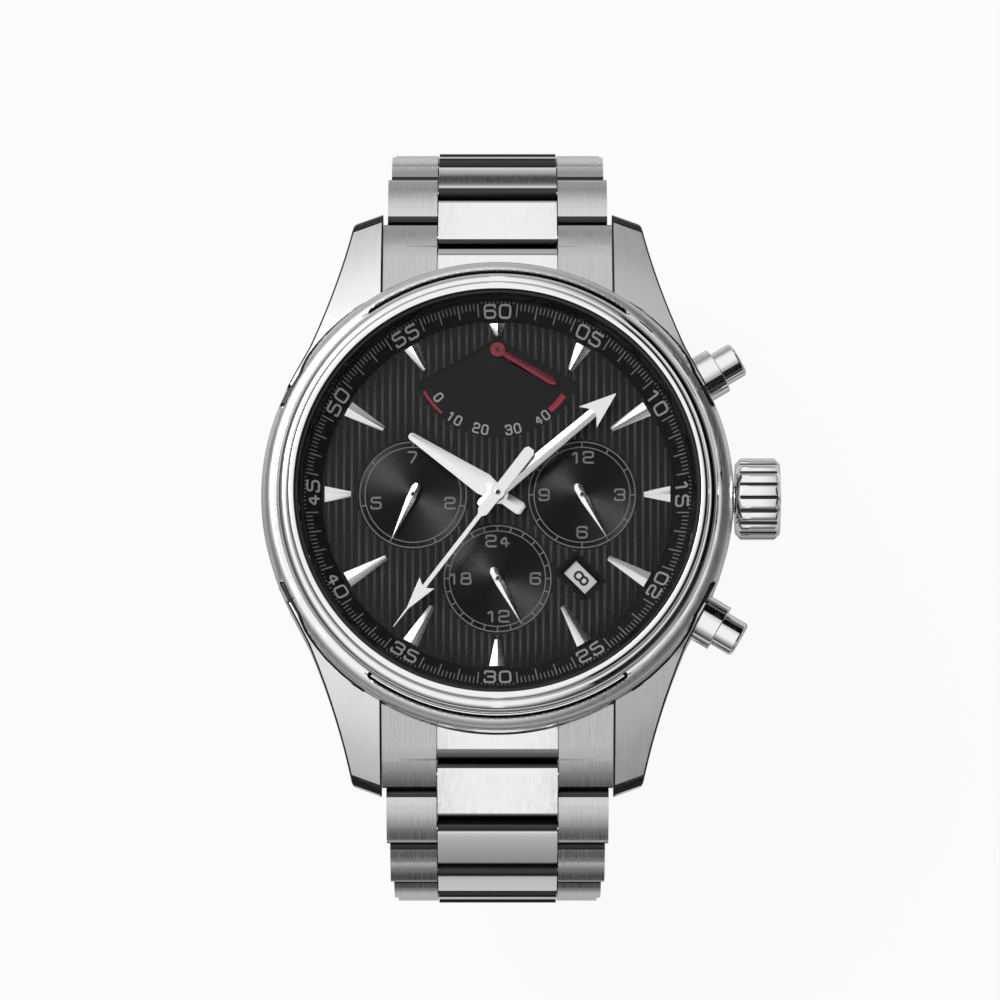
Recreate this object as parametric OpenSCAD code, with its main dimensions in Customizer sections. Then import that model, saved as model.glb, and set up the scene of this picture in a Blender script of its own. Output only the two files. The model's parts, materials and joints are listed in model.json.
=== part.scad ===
// Multi-dial automatic wristwatch on a three-piece steel bracelet.
// Millimetres. Z points out of the dial, Y to 12 o'clock, X to the crown.
// The origin is the centre of the case back's outer face.

/* [Case] */
// diameter of the round case body
case_d = 42; // [40:0.5:44]
// clear width between a pair of lugs
lug_gap = 20.6; // [20.2:0.1:21]
// distance from the case centre to a lug's end
lug_reach = 26.4; // [26:0.1:26.8]
// radius of the hollow sweep along each lug's flank
flank_r = 65; // [55:1:80]
// height of the case body's lower face above the case back's outer face
case_z = 1.2; // [1:0.1:1.4]
// height of the case shoulder, where the bezel sits
shoulder_z = 9.6; // [9.4:0.1:10]
// radius of the rounded shoulder
shoulder_round = 1.4; // [1:0.1:1.6]
// radius of the arch that the tops of the lugs follow
lug_arch_r = 47; // [45:0.5:50]
// height of that arch at the lugs' ends
lug_tip_z = 3.3; // [3.2:0.05:3.5]
// slant of the lugs' ends, degrees from square
tip_slant = 20; // [16:1:24]
// radius of the roll-over at the lugs' ends
tip_roll = 1.6; // [1.4:0.05:1.8]
// radius of the outer corner at the lugs' ends
tip_round = 0.8; // [0.5:0.05:1]
// half angle of the relief groove under the bezel at 12 and at 6
relief_half_angle = 35; // [25:1:40]

/* [Bezel and crystal] */
// outer diameter of the bezel
bezel_d = 39.2; // [38.6:0.2:39.6]
// width of the bezel's lower rounded tier
bezel_tier = 0.9; // [0.7:0.05:1]
// diameter of the crystal
crystal_d = 35.2; // [34.8:0.1:35.4]
// thickness of the crystal
crystal_t = 1.5; // [1.2:0.1:1.6]
// width of the crystal gasket
gasket_w = 0.25; // [0.2:0.05:0.3]

/* [Dial] */
// height of the dial's underside
dial_z = 8.2; // [8:0.1:8.3]
// thickness of the dial
dial_t = 0.4; // [0.3:0.05:0.45]
// inner radius of the minute ring
ring_in = 15.6; // [15.4:0.1:15.8]
// distance of each sub-dial from the centre
sub_offset = 7.5; // [7.3:0.1:7.7]
// radius of each sub-dial
sub_r = 4.85; // [4.5:0.05:4.9]
// depth of the sub-dials
sub_depth = 0.18; // [0.1:0.02:0.22]
// distance of the power-reserve pivot from the centre
reserve_offset = 13; // [12.8:0.1:13.2]
// radius of the power-reserve sector
sector_r = 7.8; // [7.4:0.1:8]
// radius of the date window's centre
window_r = 10.4; // [10.2:0.1:10.6]
// radial length of the date window
window_len = 3.3; // [3:0.1:3.4]
// width of the date window
window_w = 2.2; // [2:0.1:2.4]
// radius of the hour markers' outer ends
marker_out = 15.35; // [15.1:0.05:15.4]
// width of a marker at its outer end
marker_w = 1.45; // [1.2:0.05:1.6]
// height of the markers above the dial
marker_h = 0.45; // [0.3:0.05:0.5]

/* [Hands] */
// length of the hour hand from the centre
hour_len = 9.44; // [9:0.1:10]
// length of the minute hand from the centre
minute_len = 13.76; // [13:0.1:14.2]
// length of the seconds hand from the centre
seconds_len = 15.1; // [14.5:0.1:15.3]
// length of the sub-dial hands
sub_hand_len = 4.47; // [4:0.05:4.6]
// length of the power-reserve hand
reserve_len = 6.05; // [5.6:0.05:6.2]
// thickness of the edge of a hand
hand_t = 0.1; // [0.08:0.01:0.12]
// rise of the ridge along a hand
hand_ridge = 0.1; // [0.06:0.01:0.12]
// hour hand, degrees clockwise from 12
hour_angle = 303.9; // [0:0.1:360]
// minute hand, degrees clockwise from 12
minute_angle = 49.8; // [0:0.1:360]
// seconds hand, degrees clockwise from 12
seconds_angle = 217.5; // [0:0.1:360]
// weekday hand, degrees clockwise from 12
weekday_angle = 205; // [0:0.1:360]
// month hand, degrees clockwise from 12
month_angle = 150.4; // [0:0.1:360]
// 24-hour hand, degrees clockwise from 12
day_angle = 152.4; // [0:0.1:360]
// power-reserve hand, degrees clockwise from 12
reserve_angle = 120.5; // [115:0.5:125]

/* [Movement] */
// outer diameter of the ring that holds the movement
holder_d = 33.4; // [33:0.1:33.5]
// diameter of the main plate
plate_d = 30.2; // [29.8:0.1:30.4]
// height of the main plate's underside
plate_z = 5; // [4.9:0.05:5.1]
// thickness of the main plate
plate_t = 1.6; // [1.4:0.05:1.7]
// height of the bridges' undersides
bridge_z = 3.4; // [3.3:0.05:3.5]
// radius of the winding rotor
rotor_r = 12.4; // [11.5:0.1:12.8]
// radius of the balance wheel
balance_r = 4.1; // [3.8:0.05:4.2]
// distance of the balance from the centre
balance_offset = 8.6; // [8.4:0.1:8.8]
// distance of the minute wheel from the centre
motion_offset = 3; // [2.9:0.05:3.1]
// radius of a hand's arbor under a sub-dial
arbor_r = 0.25; // [0.2:0.01:0.3]
// radial clearance of arbors and pivots
run_gap = 0.05; // [0.03:0.01:0.08]

/* [Crown and pushers] */
// height of the stem and pusher axes
stem_z = 5.6; // [5.5:0.05:5.7]
// diameter of the crown
crown_d = 7.3; // [6.8:0.1:7.4]
// length of the crown
crown_len = 4.05; // [3.6:0.05:4.4]
// number of rounded lobes around the crown
lobes = 18; // [16:1:20]
// radius of the stem
stem_r = 0.7; // [0.6:0.02:0.8]
// distance that the crown pulls out
crown_pull = 1.2; // [0.8:0.1:1.2]
// angle of the pushers above and below the crown
pusher_angle = 30.5; // [29:0.5:31.5]
// diameter of a pusher's collar
collar_d = 4.25; // [4:0.05:4.3]
// diameter of a pusher's cap
cap_d = 3.2; // [2.8:0.05:3.3]
// outer end of a pusher, from the case centre
cap_reach = 25; // [24.6:0.1:25.2]
// distance that a pusher presses in
pusher_travel = 0.9; // [0.6:0.1:0.9]

/* [Bracelet] */
// distance between hinge pins
pitch = 5.5; // [5.2:0.05:5.6]
// thickness of the bracelet
link_t = 2.7; // [2.5:0.05:2.7]
// width of the centre pieces
centre_w = 10.7; // [10:0.1:11]
// gap between neighbouring pieces
link_gap = 0.12; // [0.1:0.01:0.15]
// gap between a centre piece and its side pieces
side_gap = 0.1; // [0.08:0.01:0.12]
// depth of the grooves beside an end link's centre
groove_depth = 0.6; // [0.4:0.05:0.8]
// width lost from each row to the next
taper = 0.56; // [0.4:0.02:0.6]
// diameter of the hinge pins
pin_d = 1; // [0.9:0.05:1.1]
// distance of the first hinge from the spring bar, along the case
hinge_out = 2.1; // [2:0.05:2.2]
// height of the first hinge
first_z = 2.2; // [2.15:0.05:2.3]
// slope of the end links, degrees below level
end_slope = 29; // [28:0.5:30]
// bend at the first hinge of each side
first_bend = 4; // [3.5:0.5:5]
// bend at the second and third hinges
near_bend = 22; // [21.5:0.5:22.5]
// bend at each of the other hinges
far_bend = 14.4; // [14.2:0.1:14.6]
// distance of a spring bar's axis from the round of the case
bar_out = 1; // [0.95:0.05:1.1]
// height of the spring bars
bar_z = 3.35; // [3.3:0.05:3.4]
// diameter of the spring bars
bar_d = 1.3; // [1.1:0.05:1.35]

/* [Clasp] */
// radius of the clasp's curve at the middle of the bracelet's thickness
clasp_r = 46; // [44:0.5:48]
// width of the clasp cover
cover_w = 17; // [16.6:0.1:17.4]
// thickness of the cover's skin
cover_t = 1.2; // [1:0.05:1.25]
// thickness of the blades
blade_t = 1.1; // [0.9:0.05:1.15]
// width of the middle blade
middle_w = 14; // [13:0.1:14.2]
// width of the inner blade
inner_w = 9; // [8:0.1:10]
// radius of the clasp's knuckles
knuckle_r = 0.75; // [0.7:0.05:0.8]
// angle of the hinge between cover and middle blade, from the clasp's middle
cover_hinge_a = -16.5; // [-17:0.1:-16]
// angle of the hinge between middle and inner blade, from the clasp's middle
fold_hinge_a = 17.5; // [17:0.1:17.6]
// diameter of a clasp button
button_d = 2; // [1.6:0.1:2.2]
// travel of a clasp button
button_travel = 0.5; // [0.3:0.05:0.6]

/* [Hidden] */
$fn = 96;
eps = 0.01;
rows = 8;
case_r = case_d / 2;
bezel_r = bezel_d / 2;
crystal_r = crystal_d / 2;
glass_gap = 0.05;
gasket_h = 1;
seat_r = crystal_r + gasket_w + 2 * glass_gap;
dial_top = dial_z + dial_t;
sub_floor = dial_top - sub_depth;
dial_r = 17.45;
dial_recess_r = dial_r + 0.1;
ring_top = 10;
ledge_r = 17.3;
ledge_z = 10.7;
bezel_step_z = 10.3;
bezel_top = 12.05;
rim_round = 0.45;
holder_r = holder_d / 2;
bore_r = holder_r + 0.1;
plate_r = plate_d / 2;
plate_top = plate_z + plate_t;
back_r = 18.6;
back_spigot_r = bore_r - 0.1;
back_top = 2;
window_back_r = 12.8;
back_glass_r = 13.4;
back_ledge_z = 0.4;
back_glass_t = 0.9;
wrench_in = 0.9;
wrench_w = 1.6;
wrench_depth = 0.7;
flat_r = case_r - 0.5;
wall_t = 1.1;
press_gap = 0.02;
seat_gap = 0.1;
bar_tip = 1;
bar_tip_gap = 0.2;

// heights of the hands' undersides, from the sub-dials up
sub_hand_z = dial_top + 0.12;
hour_z = sub_hand_z + 0.5;
minute_z = hour_z + 0.4;
seconds_z = minute_z + 0.4;

// pipes on the centre arbor, from the inside out
seconds_arbor_r = 0.27;
cannon_in = seconds_arbor_r + run_gap;
cannon_out = 0.6;
hour_pipe_in = cannon_out + run_gap;
hour_pipe_out = 0.95;

// motion work: tooth counts give one turn of the hour hand for twelve of the minute hand
cannon_n = 12;
minute_wheel_n = 36;
minute_pinion_n = 10;
hour_wheel_n = 40;
low_module = 2 * motion_offset / (cannon_n + minute_wheel_n);
high_module = 2 * motion_offset / (minute_pinion_n + hour_wheel_n);
motion_dir = 45;
low_gear_z = plate_top + 0.15;
high_gear_z = low_gear_z + 0.6;
gear_t = 0.45;
backlash = 0.12;

// date disc
date_in = 9;
date_out = 12;
date_z = 7.75;
date_t = 0.3;
date_teeth = 31;

// bracelet chain
bar_y = case_r + bar_out;
first_y = bar_y + hinge_out;
hinge_r = pin_d / 2;
quarter = pitch / 4;
half_t = link_t / 2;
lug_play = 0.1;
pin_inset = 0.3;
row_slope = [for (k = [1:rows])
    end_slope + first_bend + near_bend * min(k - 1, 2) + far_bend * max(0, k - 3)];
function hinge_point(k) = k == 0 ? [first_y, first_z]
    : hinge_point(k - 1) + pitch * [cos(row_slope[k - 1]), -sin(row_slope[k - 1])];
function row_half(k) = lug_gap / 2 - lug_play - k * taper / 2;
chain_end = hinge_point(rows);
clasp_half_a = asin(chain_end[0] / clasp_r);
clasp_cz = chain_end[1] + clasp_r * cos(clasp_half_a);
skin_proud = 0.3;
blade_gap = 0.25;
cover_drop = 0.1;
fold_drop = 1;
skin_out = clasp_r + half_t + skin_proud;
skin_in = skin_out - cover_t;
middle_out = skin_in - blade_gap;
inner_out = middle_out - blade_t - blade_gap;
inner_in = inner_out - blade_t;
cover_hinge_r = clasp_r - cover_drop;
fold_hinge_r = cover_hinge_r - fold_drop;

steel = [0.8, 0.81, 0.82];
dark = [0.07, 0.07, 0.08];
silver = [0.9, 0.9, 0.9];
brass = [0.75, 0.65, 0.4];
red = [0.7, 0.05, 0.12];
clear = [0.85, 0.92, 0.95, 0.3];

// Ring between two radii and two heights.
module ring(r_in, r_out, z, h) {
    translate([0, 0, z])
        difference() {
            cylinder(r = r_out, h = h);
            translate([0, 0, -eps])
                cylinder(r = r_in, h = h + 2 * eps);
        }
}

// Round bar along X.
module bar_x(r, x0, x1) {
    translate([x0, 0, 0])
        rotate([0, 90, 0])
            cylinder(r = r, h = x1 - x0);
}

// Turns a shape drawn with length along X and thickness along Y into a slice across the watch.
module across(w) {
    rotate([90, 0, 90])
        linear_extrude(height = w, center = true)
            children();
}

// Puts a shape at the two positions of the pushers, at the stem's height.
module on_pusher(a) {
    rotate([0, 0, a])
        translate([0, 0, stem_z])
            children();
}

// Ridged bar built from stations of distance and half width, for hands and markers.
function ridge_section(s, z, t, rise) = [[-s[1], s[0], z], [s[1], s[0], z],
    [s[1], s[0], z + t], [0, s[0], z + t + rise], [-s[1], s[0], z + t]];
module ridge_bar(stations, z, t, rise) {
    n = len(stations);
    pts = [for (s = stations) each ridge_section(s, z, t, rise)];
    walls = [for (i = [0:n - 2], j = [0:4]) each [
        [5 * i + j, 5 * i + (j + 1) % 5, 5 * i + 5 + (j + 1) % 5],
        [5 * i + j, 5 * i + 5 + (j + 1) % 5, 5 * i + 5 + j]]];
    ends = [[4, 3, 2, 1, 0], [for (j = [0:4]) 5 * (n - 1) + j]];
    polyhedron(points = pts, faces = concat(ends, walls));
}

// Outline of a gear with trapezoid teeth, one tooth centred on the X axis.
module gear_outline(n, m) {
    r = n * m / 2;
    step = 360 / n;
    thin = 1 - backlash;
    polygon([for (i = [0:n - 1]) each [
        for (p = [[-0.36, -1.25], [-0.25 * thin, 0], [-0.1, 0.9], [0.1, 0.9],
            [0.25 * thin, 0], [0.36, -1.25]])
        (r + p[1] * m) * [cos((i + p[0]) * step), sin((i + p[0]) * step)]]]);
}
module gear(n, m, z, phase) {
    translate([0, 0, z])
        rotate([0, 0, phase])
            linear_extrude(height = gear_t)
                gear_outline(n, m);
}

// Case.
arch_centre_z = lug_tip_z - sqrt(lug_arch_r * lug_arch_r - lug_reach * lug_reach);
flank_mid = [15.1, 18.75];
flank_tilt = 18.1;
flank_half_chord = 6.94;
flank_centre = flank_mid + [cos(flank_tilt), sin(flank_tilt)]
    * sqrt(flank_r * flank_r - flank_half_chord * flank_half_chord);
blend_a = 27.5;
blend_len = 5;
lug_start = 8;
lug_hole_r = 0.55;
lug_cap_z = shoulder_z - 0.4;

// centre of the roll-over, which runs into the arch
roll_y = lug_reach - tip_roll;
roll_z = arch_centre_z + sqrt(pow(lug_arch_r - tip_roll, 2) - roll_y * roll_y) - eps;
roll_end = [0, arch_centre_z]
    + [roll_y, roll_z - arch_centre_z] * lug_arch_r / (lug_arch_r - tip_roll);

// centre of the rounded corner between a lug's end and its flank
corner_y = lug_reach - 1.5;
corner_p = [flank_centre[0] - sqrt(flank_r * flank_r - pow(corner_y - flank_centre[1], 2)),
    corner_y];
corner_n = (flank_centre - corner_p) / flank_r;
tip_n = [sin(tip_slant), cos(tip_slant)];
tip_d = tip_n * [lug_gap / 2, lug_reach] - tip_round;
corner_d = corner_n * corner_p - tip_round;
corner_c = [tip_d * corner_n[1] - tip_n[1] * corner_d,
    tip_n[0] * corner_d - corner_n[0] * tip_d]
    / (tip_n[0] * corner_n[1] - tip_n[1] * corner_n[0]);

// Plan of a lug: hollow flank that leaves the round body along its tangent, rounded outer corner.
module lug_plan() {
    leave = case_r * [cos(blend_a), sin(blend_a)];
    meet = leave + blend_len * [-sin(blend_a), cos(blend_a)];
    past = 2 * tip_round;
    difference() {
        union() {
            difference() {
                translate([lug_gap / 2, lug_start])
                    square([case_r - lug_gap / 2, lug_reach - lug_start]);
                translate(flank_centre)
                    circle(r = flank_r, $fn = 180);
            }
            polygon([[lug_gap / 2, leave[1]], leave, meet, [lug_gap / 2, meet[1]]]);
        }
        difference() {
            polygon([corner_c, corner_c + past * tip_n, corner_c + past * (tip_n + corner_n),
                corner_c + past * corner_n]);
            translate(corner_c)
                circle(r = tip_round);
        }
    }
}

// Side view of a lug: arched top that rolls over at the end.
module lug_side() {
    intersection() {
        translate([0, arch_centre_z])
            circle(r = lug_arch_r, $fn = 180);
        polygon([[0, case_z], [roll_y, case_z], [roll_y, roll_z], roll_end,
            [roll_end[0], lug_cap_z], [0, lug_cap_z]]);
    }
    translate([roll_y, roll_z])
        intersection() {
            circle(r = tip_roll);
            translate([-tip_roll, case_z - roll_z])
                square([2 * tip_roll, 2 * tip_roll]);
        }
}

module lug() {
    intersection() {
        translate([0, 0, case_z])
            linear_extrude(height = shoulder_z)
                lug_plan();
        translate([lug_gap / 2, lug_reach, 0])
            rotate([0, 0, -tip_slant])
                translate([0, -lug_reach, 0])
                    rotate([90, 0, 90])
                        linear_extrude(height = 2 * case_r, center = true)
                            lug_side();
    }
}

module case_profile() {
    edge = case_r - shoulder_round;
    polygon([[bore_r, case_z], [edge, case_z], [case_r, case_z + 1.2],
        [case_r, shoulder_z - shoulder_round], [edge, shoulder_z - shoulder_round],
        [edge, shoulder_z], [dial_recess_r, shoulder_z], [dial_recess_r, dial_z],
        [bore_r, dial_z]]);
    translate([edge, shoulder_z - shoulder_round])
        intersection() {
            circle(r = shoulder_round);
            square(shoulder_round);
        }
}

module relief_groove() {
    rotate([0, 0, 90 - relief_half_angle])
        rotate_extrude(angle = 2 * relief_half_angle)
            translate([bezel_r - 0.2, shoulder_z - 0.45])
                square([0.5, 1]);
}

module case_middle() {
    color(steel)
        difference() {
            union() {
                rotate_extrude()
                    case_profile();
                for (mx = [0, 1], my = [0, 1])
                    mirror([mx, 0, 0])
                        mirror([0, my, 0])
                            difference() {
                                lug();
                                cylinder(r = bore_r + wall_t, h = 2 * shoulder_z);
                                translate([0, bar_y, bar_z])
                                    bar_x(lug_hole_r, 0, lug_gap / 2 + bar_tip + bar_tip_gap);
                            }
            }
            for (my = [0, 1])
                mirror([0, my, 0])
                    relief_groove();
            translate([0, 0, stem_z]) {
                bar_x(tube_r + press_gap, bore_r - 1, case_r + 1);
                bar_x(flange_r + seat_gap, flat_r, case_r + 1);
            }
            for (a = [-pusher_angle, pusher_angle])
                on_pusher(a) {
                    bar_x(spigot_r + press_gap, bore_r - 1, case_r + 1);
                    bar_x(collar_d / 2 + seat_gap, flat_r, cap_reach);
                }
        }
}

module bezel() {
    tier_r = bezel_r - bezel_tier;
    rim_r = tier_r - rim_round;
    color(steel)
        rotate_extrude() {
            polygon([[dial_recess_r, shoulder_z], [bezel_r, shoulder_z],
                [bezel_r, bezel_step_z], [tier_r, bezel_step_z],
                [tier_r, bezel_top - rim_round], [rim_r, bezel_top - rim_round],
                [rim_r, bezel_top], [seat_r, bezel_top], [seat_r, ledge_z],
                [ledge_r, ledge_z], [ledge_r, ring_top], [dial_recess_r, ring_top]]);
            translate([tier_r, bezel_step_z])
                intersection() {
                    circle(r = bezel_tier);
                    square(bezel_tier);
                }
            translate([rim_r, bezel_top - rim_round])
                intersection() {
                    circle(r = rim_round);
                    square(rim_round);
                }
        }
}

module crystal() {
    chamfer = 0.3;
    color(clear)
        rotate_extrude()
            polygon([[0, ledge_z], [crystal_r, ledge_z],
                [crystal_r, ledge_z + crystal_t - chamfer],
                [crystal_r - chamfer, ledge_z + crystal_t], [0, ledge_z + crystal_t]]);
}

module crystal_gasket() {
    color(dark)
        ring(crystal_r + glass_gap, seat_r - glass_gap, ledge_z, gasket_h);
}

module minute_ring() {
    color(dark)
        rotate_extrude()
            polygon([[ring_in, dial_top], [dial_r, dial_top], [dial_r, ring_top],
                [dial_r - 0.2, ring_top], [ring_in, dial_top + 0.2]]);
}

module case_back() {
    color(steel)
        difference() {
            union() {
                cylinder(r = back_r, h = case_z);
                cylinder(r = back_spigot_r, h = back_top);
            }
            translate([0, 0, -eps])
                cylinder(r = window_back_r, h = back_top);
            translate([0, 0, back_ledge_z])
                cylinder(r = back_glass_r + glass_gap, h = back_top);
            for (i = [0:5])
                rotate([0, 0, 60 * i + 30])
                    translate([back_r - wrench_in, -wrench_w / 2, -eps])
                        cube([2 * wrench_in, wrench_w, wrench_depth]);
        }
}

// Stepped so that its outer face lies flush with the case back.
module back_crystal() {
    color(clear) {
        cylinder(r = window_back_r - glass_gap, h = back_ledge_z + eps);
        translate([0, 0, back_ledge_z])
            cylinder(r = back_glass_r, h = back_glass_t);
    }
}

// Dial side.
sub_centres = [[-sub_offset, 0], [sub_offset, 0], [0, -sub_offset]];
reserve_centre = [0, reserve_offset];

module sector_outline() {
    apex = reserve_offset + 0.9;
    intersection() {
        translate(reserve_centre)
            circle(r = sector_r);
        polygon([[0, apex], [8.5, apex - 4.8], [8.5, 4], [-8.5, 4], [-8.5, apex - 4.8]]);
    }
}

module dial() {
    color(dark)
        difference() {
            translate([0, 0, dial_z])
                cylinder(r = dial_r, h = dial_t);
            for (c = sub_centres)
                translate([c[0], c[1], sub_floor])
                    cylinder(r = sub_r, h = 1);
            translate([0, 0, dial_top - 0.1])
                linear_extrude(height = 1)
                    sector_outline();
            for (c = concat(sub_centres, [reserve_centre]))
                translate([c[0], c[1], dial_z - eps])
                    cylinder(r = arbor_r + 0.1, h = 1, $fn = 32);
            translate([0, 0, dial_z - eps])
                cylinder(r = hour_pipe_out + 0.1, h = 1, $fn = 48);
            rotate([0, 0, -45])
                translate([window_r - window_len / 2, -window_w / 2, dial_z - eps])
                    cube([window_len, window_w, 1]);
        }
}

// marker lengths by hour: short at 12, long beside the sub-dials
marker_len = [1.15, 2.5, 3.7, 2.4, 4, 3.8, 2.4, 3.8, 4, 2.4, 3.7, 2.5];

module hour_markers() {
    color(silver)
        for (h = [0:11])
            rotate([0, 0, -30 * h])
                ridge_bar([[marker_out - marker_len[h], 0.24], [marker_out, marker_w / 2]],
                    dial_top, marker_h * 0.55, marker_h * 0.45);
}

// Arbor of a hand over a sub-dial, from the main plate to the hand.
module sub_arbor(top) {
    translate([0, 0, plate_z + 0.5])
        cylinder(r = arbor_r, h = top - plate_z - 0.5, $fn = 32);
}

module sub_hand(c, a, len) {
    color(silver)
        translate([c[0], c[1], 0]) {
            rotate([0, 0, -a])
                ridge_bar([[-1.06, 0.2], [-0.7, 0.4], [0.5, 0.4], [len, 0.05]],
                    sub_hand_z, hand_t, hand_ridge);
            sub_arbor(sub_hand_z + hand_t + hand_ridge + 0.05);
        }
}
module weekday_hand() {
    sub_hand(sub_centres[0], weekday_angle, sub_hand_len);
}
module month_hand() {
    sub_hand(sub_centres[1], month_angle, sub_hand_len);
}
module day_hand() {
    sub_hand(sub_centres[2], day_angle, sub_hand_len + 0.2);
}

module reserve_hand() {
    color(red)
        translate([reserve_centre[0], reserve_centre[1], 0]) {
            rotate([0, 0, -reserve_angle])
                ridge_bar([[0.3, 0.22], [reserve_len - 0.5, 0.34], [reserve_len, 0.15]],
                    sub_hand_z, hand_t, hand_ridge);
            translate([0, 0, sub_hand_z])
                cylinder(r = 0.66, h = hand_t + hand_ridge, $fn = 48);
            sub_arbor(sub_hand_z + hand_t);
        }
}

module date_disc() {
    step = 360 / date_teeth;
    color(silver)
        translate([0, 0, date_z])
            difference() {
                cylinder(r = date_out, h = date_t);
                translate([0, 0, -eps])
                    linear_extrude(height = 1)
                        polygon([for (i = [0:date_teeth - 1]) each [
                            (date_in - 0.4) * [cos((i - 0.2) * step), sin((i - 0.2) * step)],
                            date_in * [cos((i + 0.1) * step), sin((i + 0.1) * step)],
                            date_in * [cos((i + 0.4) * step), sin((i + 0.4) * step)],
                            (date_in - 0.4) * [cos((i + 0.7) * step), sin((i + 0.7) * step)]]]);
            }
}

// Centre hands, each with the pipe or arbor that carries it.
module hour_hand() {
    top = hour_z + hand_t + hand_ridge;
    color(silver) {
        difference() {
            union() {
                rotate([0, 0, -hour_angle])
                    ridge_bar([[-2.74, 0.4], [-2.4, 0.62], [-0.9, 0.55], [1.5, 1],
                        [hour_len - 0.25, 0.34], [hour_len, 0.2]], hour_z, hand_t, hand_ridge);
                translate([0, 0, high_gear_z])
                    cylinder(r = hour_pipe_out, h = top - high_gear_z, $fn = 48);
                gear(hour_wheel_n, high_module, high_gear_z, 0);
            }
            translate([0, 0, plate_z])
                cylinder(r = hour_pipe_in, h = 10, $fn = 48);
        }
    }
}

module minute_hand() {
    top = minute_z + hand_t + hand_ridge;
    head = minute_len - 3.3;
    color(silver)
        difference() {
            union() {
                rotate([0, 0, -minute_angle]) {
                    ridge_bar([[-2, 0.45], [-1.6, 0.6], [head + 1, 0.42]],
                        minute_z, hand_t, hand_ridge);
                    for (mx = [0, 1])
                        mirror([mx, 0, 0])
                            translate([0, 0, minute_z])
                                linear_extrude(height = hand_t + hand_ridge)
                                    polygon([[0, head + 0.7], [0.38, head + 0.7],
                                        [1.23, head], [0.03, minute_len], [0, minute_len]]);
                }
                translate([0, 0, plate_z + 0.3])
                    cylinder(r = cannon_out, h = top - plate_z - 0.3, $fn = 48);
                gear(cannon_n, low_module, low_gear_z, 0);
            }
            translate([0, 0, plate_z])
                cylinder(r = cannon_in, h = 10, $fn = 48);
        }
}

module seconds_hand() {
    color(silver) {
        rotate([0, 0, -seconds_angle])
            translate([0, 0, seconds_z])
                linear_extrude(height = hand_t + 0.06) {
                    polygon([[-0.3, -4.94], [0.3, -4.94], [0.52, -4.6], [0.5, 2.2], [0.2, 2.6],
                        [0.2, 10.6], [0.83, 10.2], [0.1, 13], [0.04, seconds_len],
                        [-0.04, seconds_len], [-0.1, 13], [-0.83, 10.2], [-0.2, 10.6],
                        [-0.2, 2.6], [-0.5, 2.2], [-0.52, -4.6]]);
                    circle(r = 0.63, $fn = 48);
                }
        translate([0, 0, plate_z + 0.3])
            cylinder(r = seconds_arbor_r, h = seconds_z + 0.2 - plate_z - 0.3, $fn = 32);
    }
}

wheel_centre = motion_offset * [cos(motion_dir), sin(motion_dir)];
stud_r = 0.22;

// Phase that puts a gear's tooth into the gap of the gear it meets, whose first tooth is at 0.
function mesh_phase(n_drive, n_driven, dir) =
    dir + 180 + 180 / n_driven + dir * n_drive / n_driven;

module minute_wheel() {
    color(brass)
        translate([wheel_centre[0], wheel_centre[1], 0])
            difference() {
                union() {
                    gear(minute_wheel_n, low_module, low_gear_z,
                        mesh_phase(cannon_n, minute_wheel_n, motion_dir));
                    gear(minute_pinion_n, high_module, high_gear_z,
                        mesh_phase(hour_wheel_n, minute_pinion_n, motion_dir));
                    translate([0, 0, low_gear_z])
                        cylinder(r = 0.4, h = high_gear_z - low_gear_z + eps, $fn = 32);
                }
                translate([0, 0, plate_z])
                    cylinder(r = stud_r + run_gap, h = 5, $fn = 32);
            }
}

// Movement.
stem_slot_x = 11.8;
stem_slot_half = 1.2;

module movement_ring() {
    color(steel)
        difference() {
            ring(plate_r - 0.5, holder_r, back_top, dial_z - back_top);
            translate([0, 0, plate_z])
                cylinder(r = plate_r + 0.05, h = dial_z);
            translate([0, 0, stem_z])
                bar_x(stem_r + 0.2, 10, case_r);
        }
}

guide_in = date_out + run_gap;
guide_out = date_out + 0.8;
plate_hole_z = plate_z + 0.45;

module main_plate() {
    color(brass) {
        difference() {
            union() {
                translate([0, 0, plate_z])
                    cylinder(r = plate_r, h = plate_t);
                ring(date_out - 0.8, guide_out, plate_top - eps, date_z - plate_top - 0.04);
                ring(guide_in, guide_out, plate_top - eps, date_z + date_t - plate_top);
            }
            translate([0, 0, plate_z - eps])
                cylinder(r = cannon_out + run_gap, h = 5, $fn = 48);
            for (c = concat(sub_centres, [reserve_centre]))
                translate([c[0], c[1], plate_hole_z])
                    cylinder(r = arbor_r + run_gap, h = 5, $fn = 32);
            translate([stem_slot_x, -stem_slot_half, plate_z - eps])
                cube([5, 2 * stem_slot_half, plate_t + eps]);
            translate([0, -balance_offset, plate_z - eps])
                cylinder(r = staff_r + run_gap, h = 0.35, $fn = 24);
        }
        translate([wheel_centre[0], wheel_centre[1], plate_top - eps])
            cylinder(r = stud_r, h = high_gear_z + gear_t - plate_top, $fn = 32);
    }
}

bridge_r = plate_r - 0.7;
bridge_split = 2.3;
bridge_seam = 0.25;
cock_x = 4.9;
cock_y = -5.2;
cock_arm_half = 1.3;
cock_arm_t = 0.5;
cock_bury = 1;
balance_well = balance_r + 0.5;
staff_r = 0.15;
balance_z = 4.15;

module barrel_bridge() {
    color(steel)
        translate([0, 0, bridge_z])
            linear_extrude(height = plate_z - bridge_z)
                intersection() {
                    circle(r = bridge_r);
                    translate([-bridge_r, bridge_split])
                        square(2 * bridge_r);
                }
}

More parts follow.
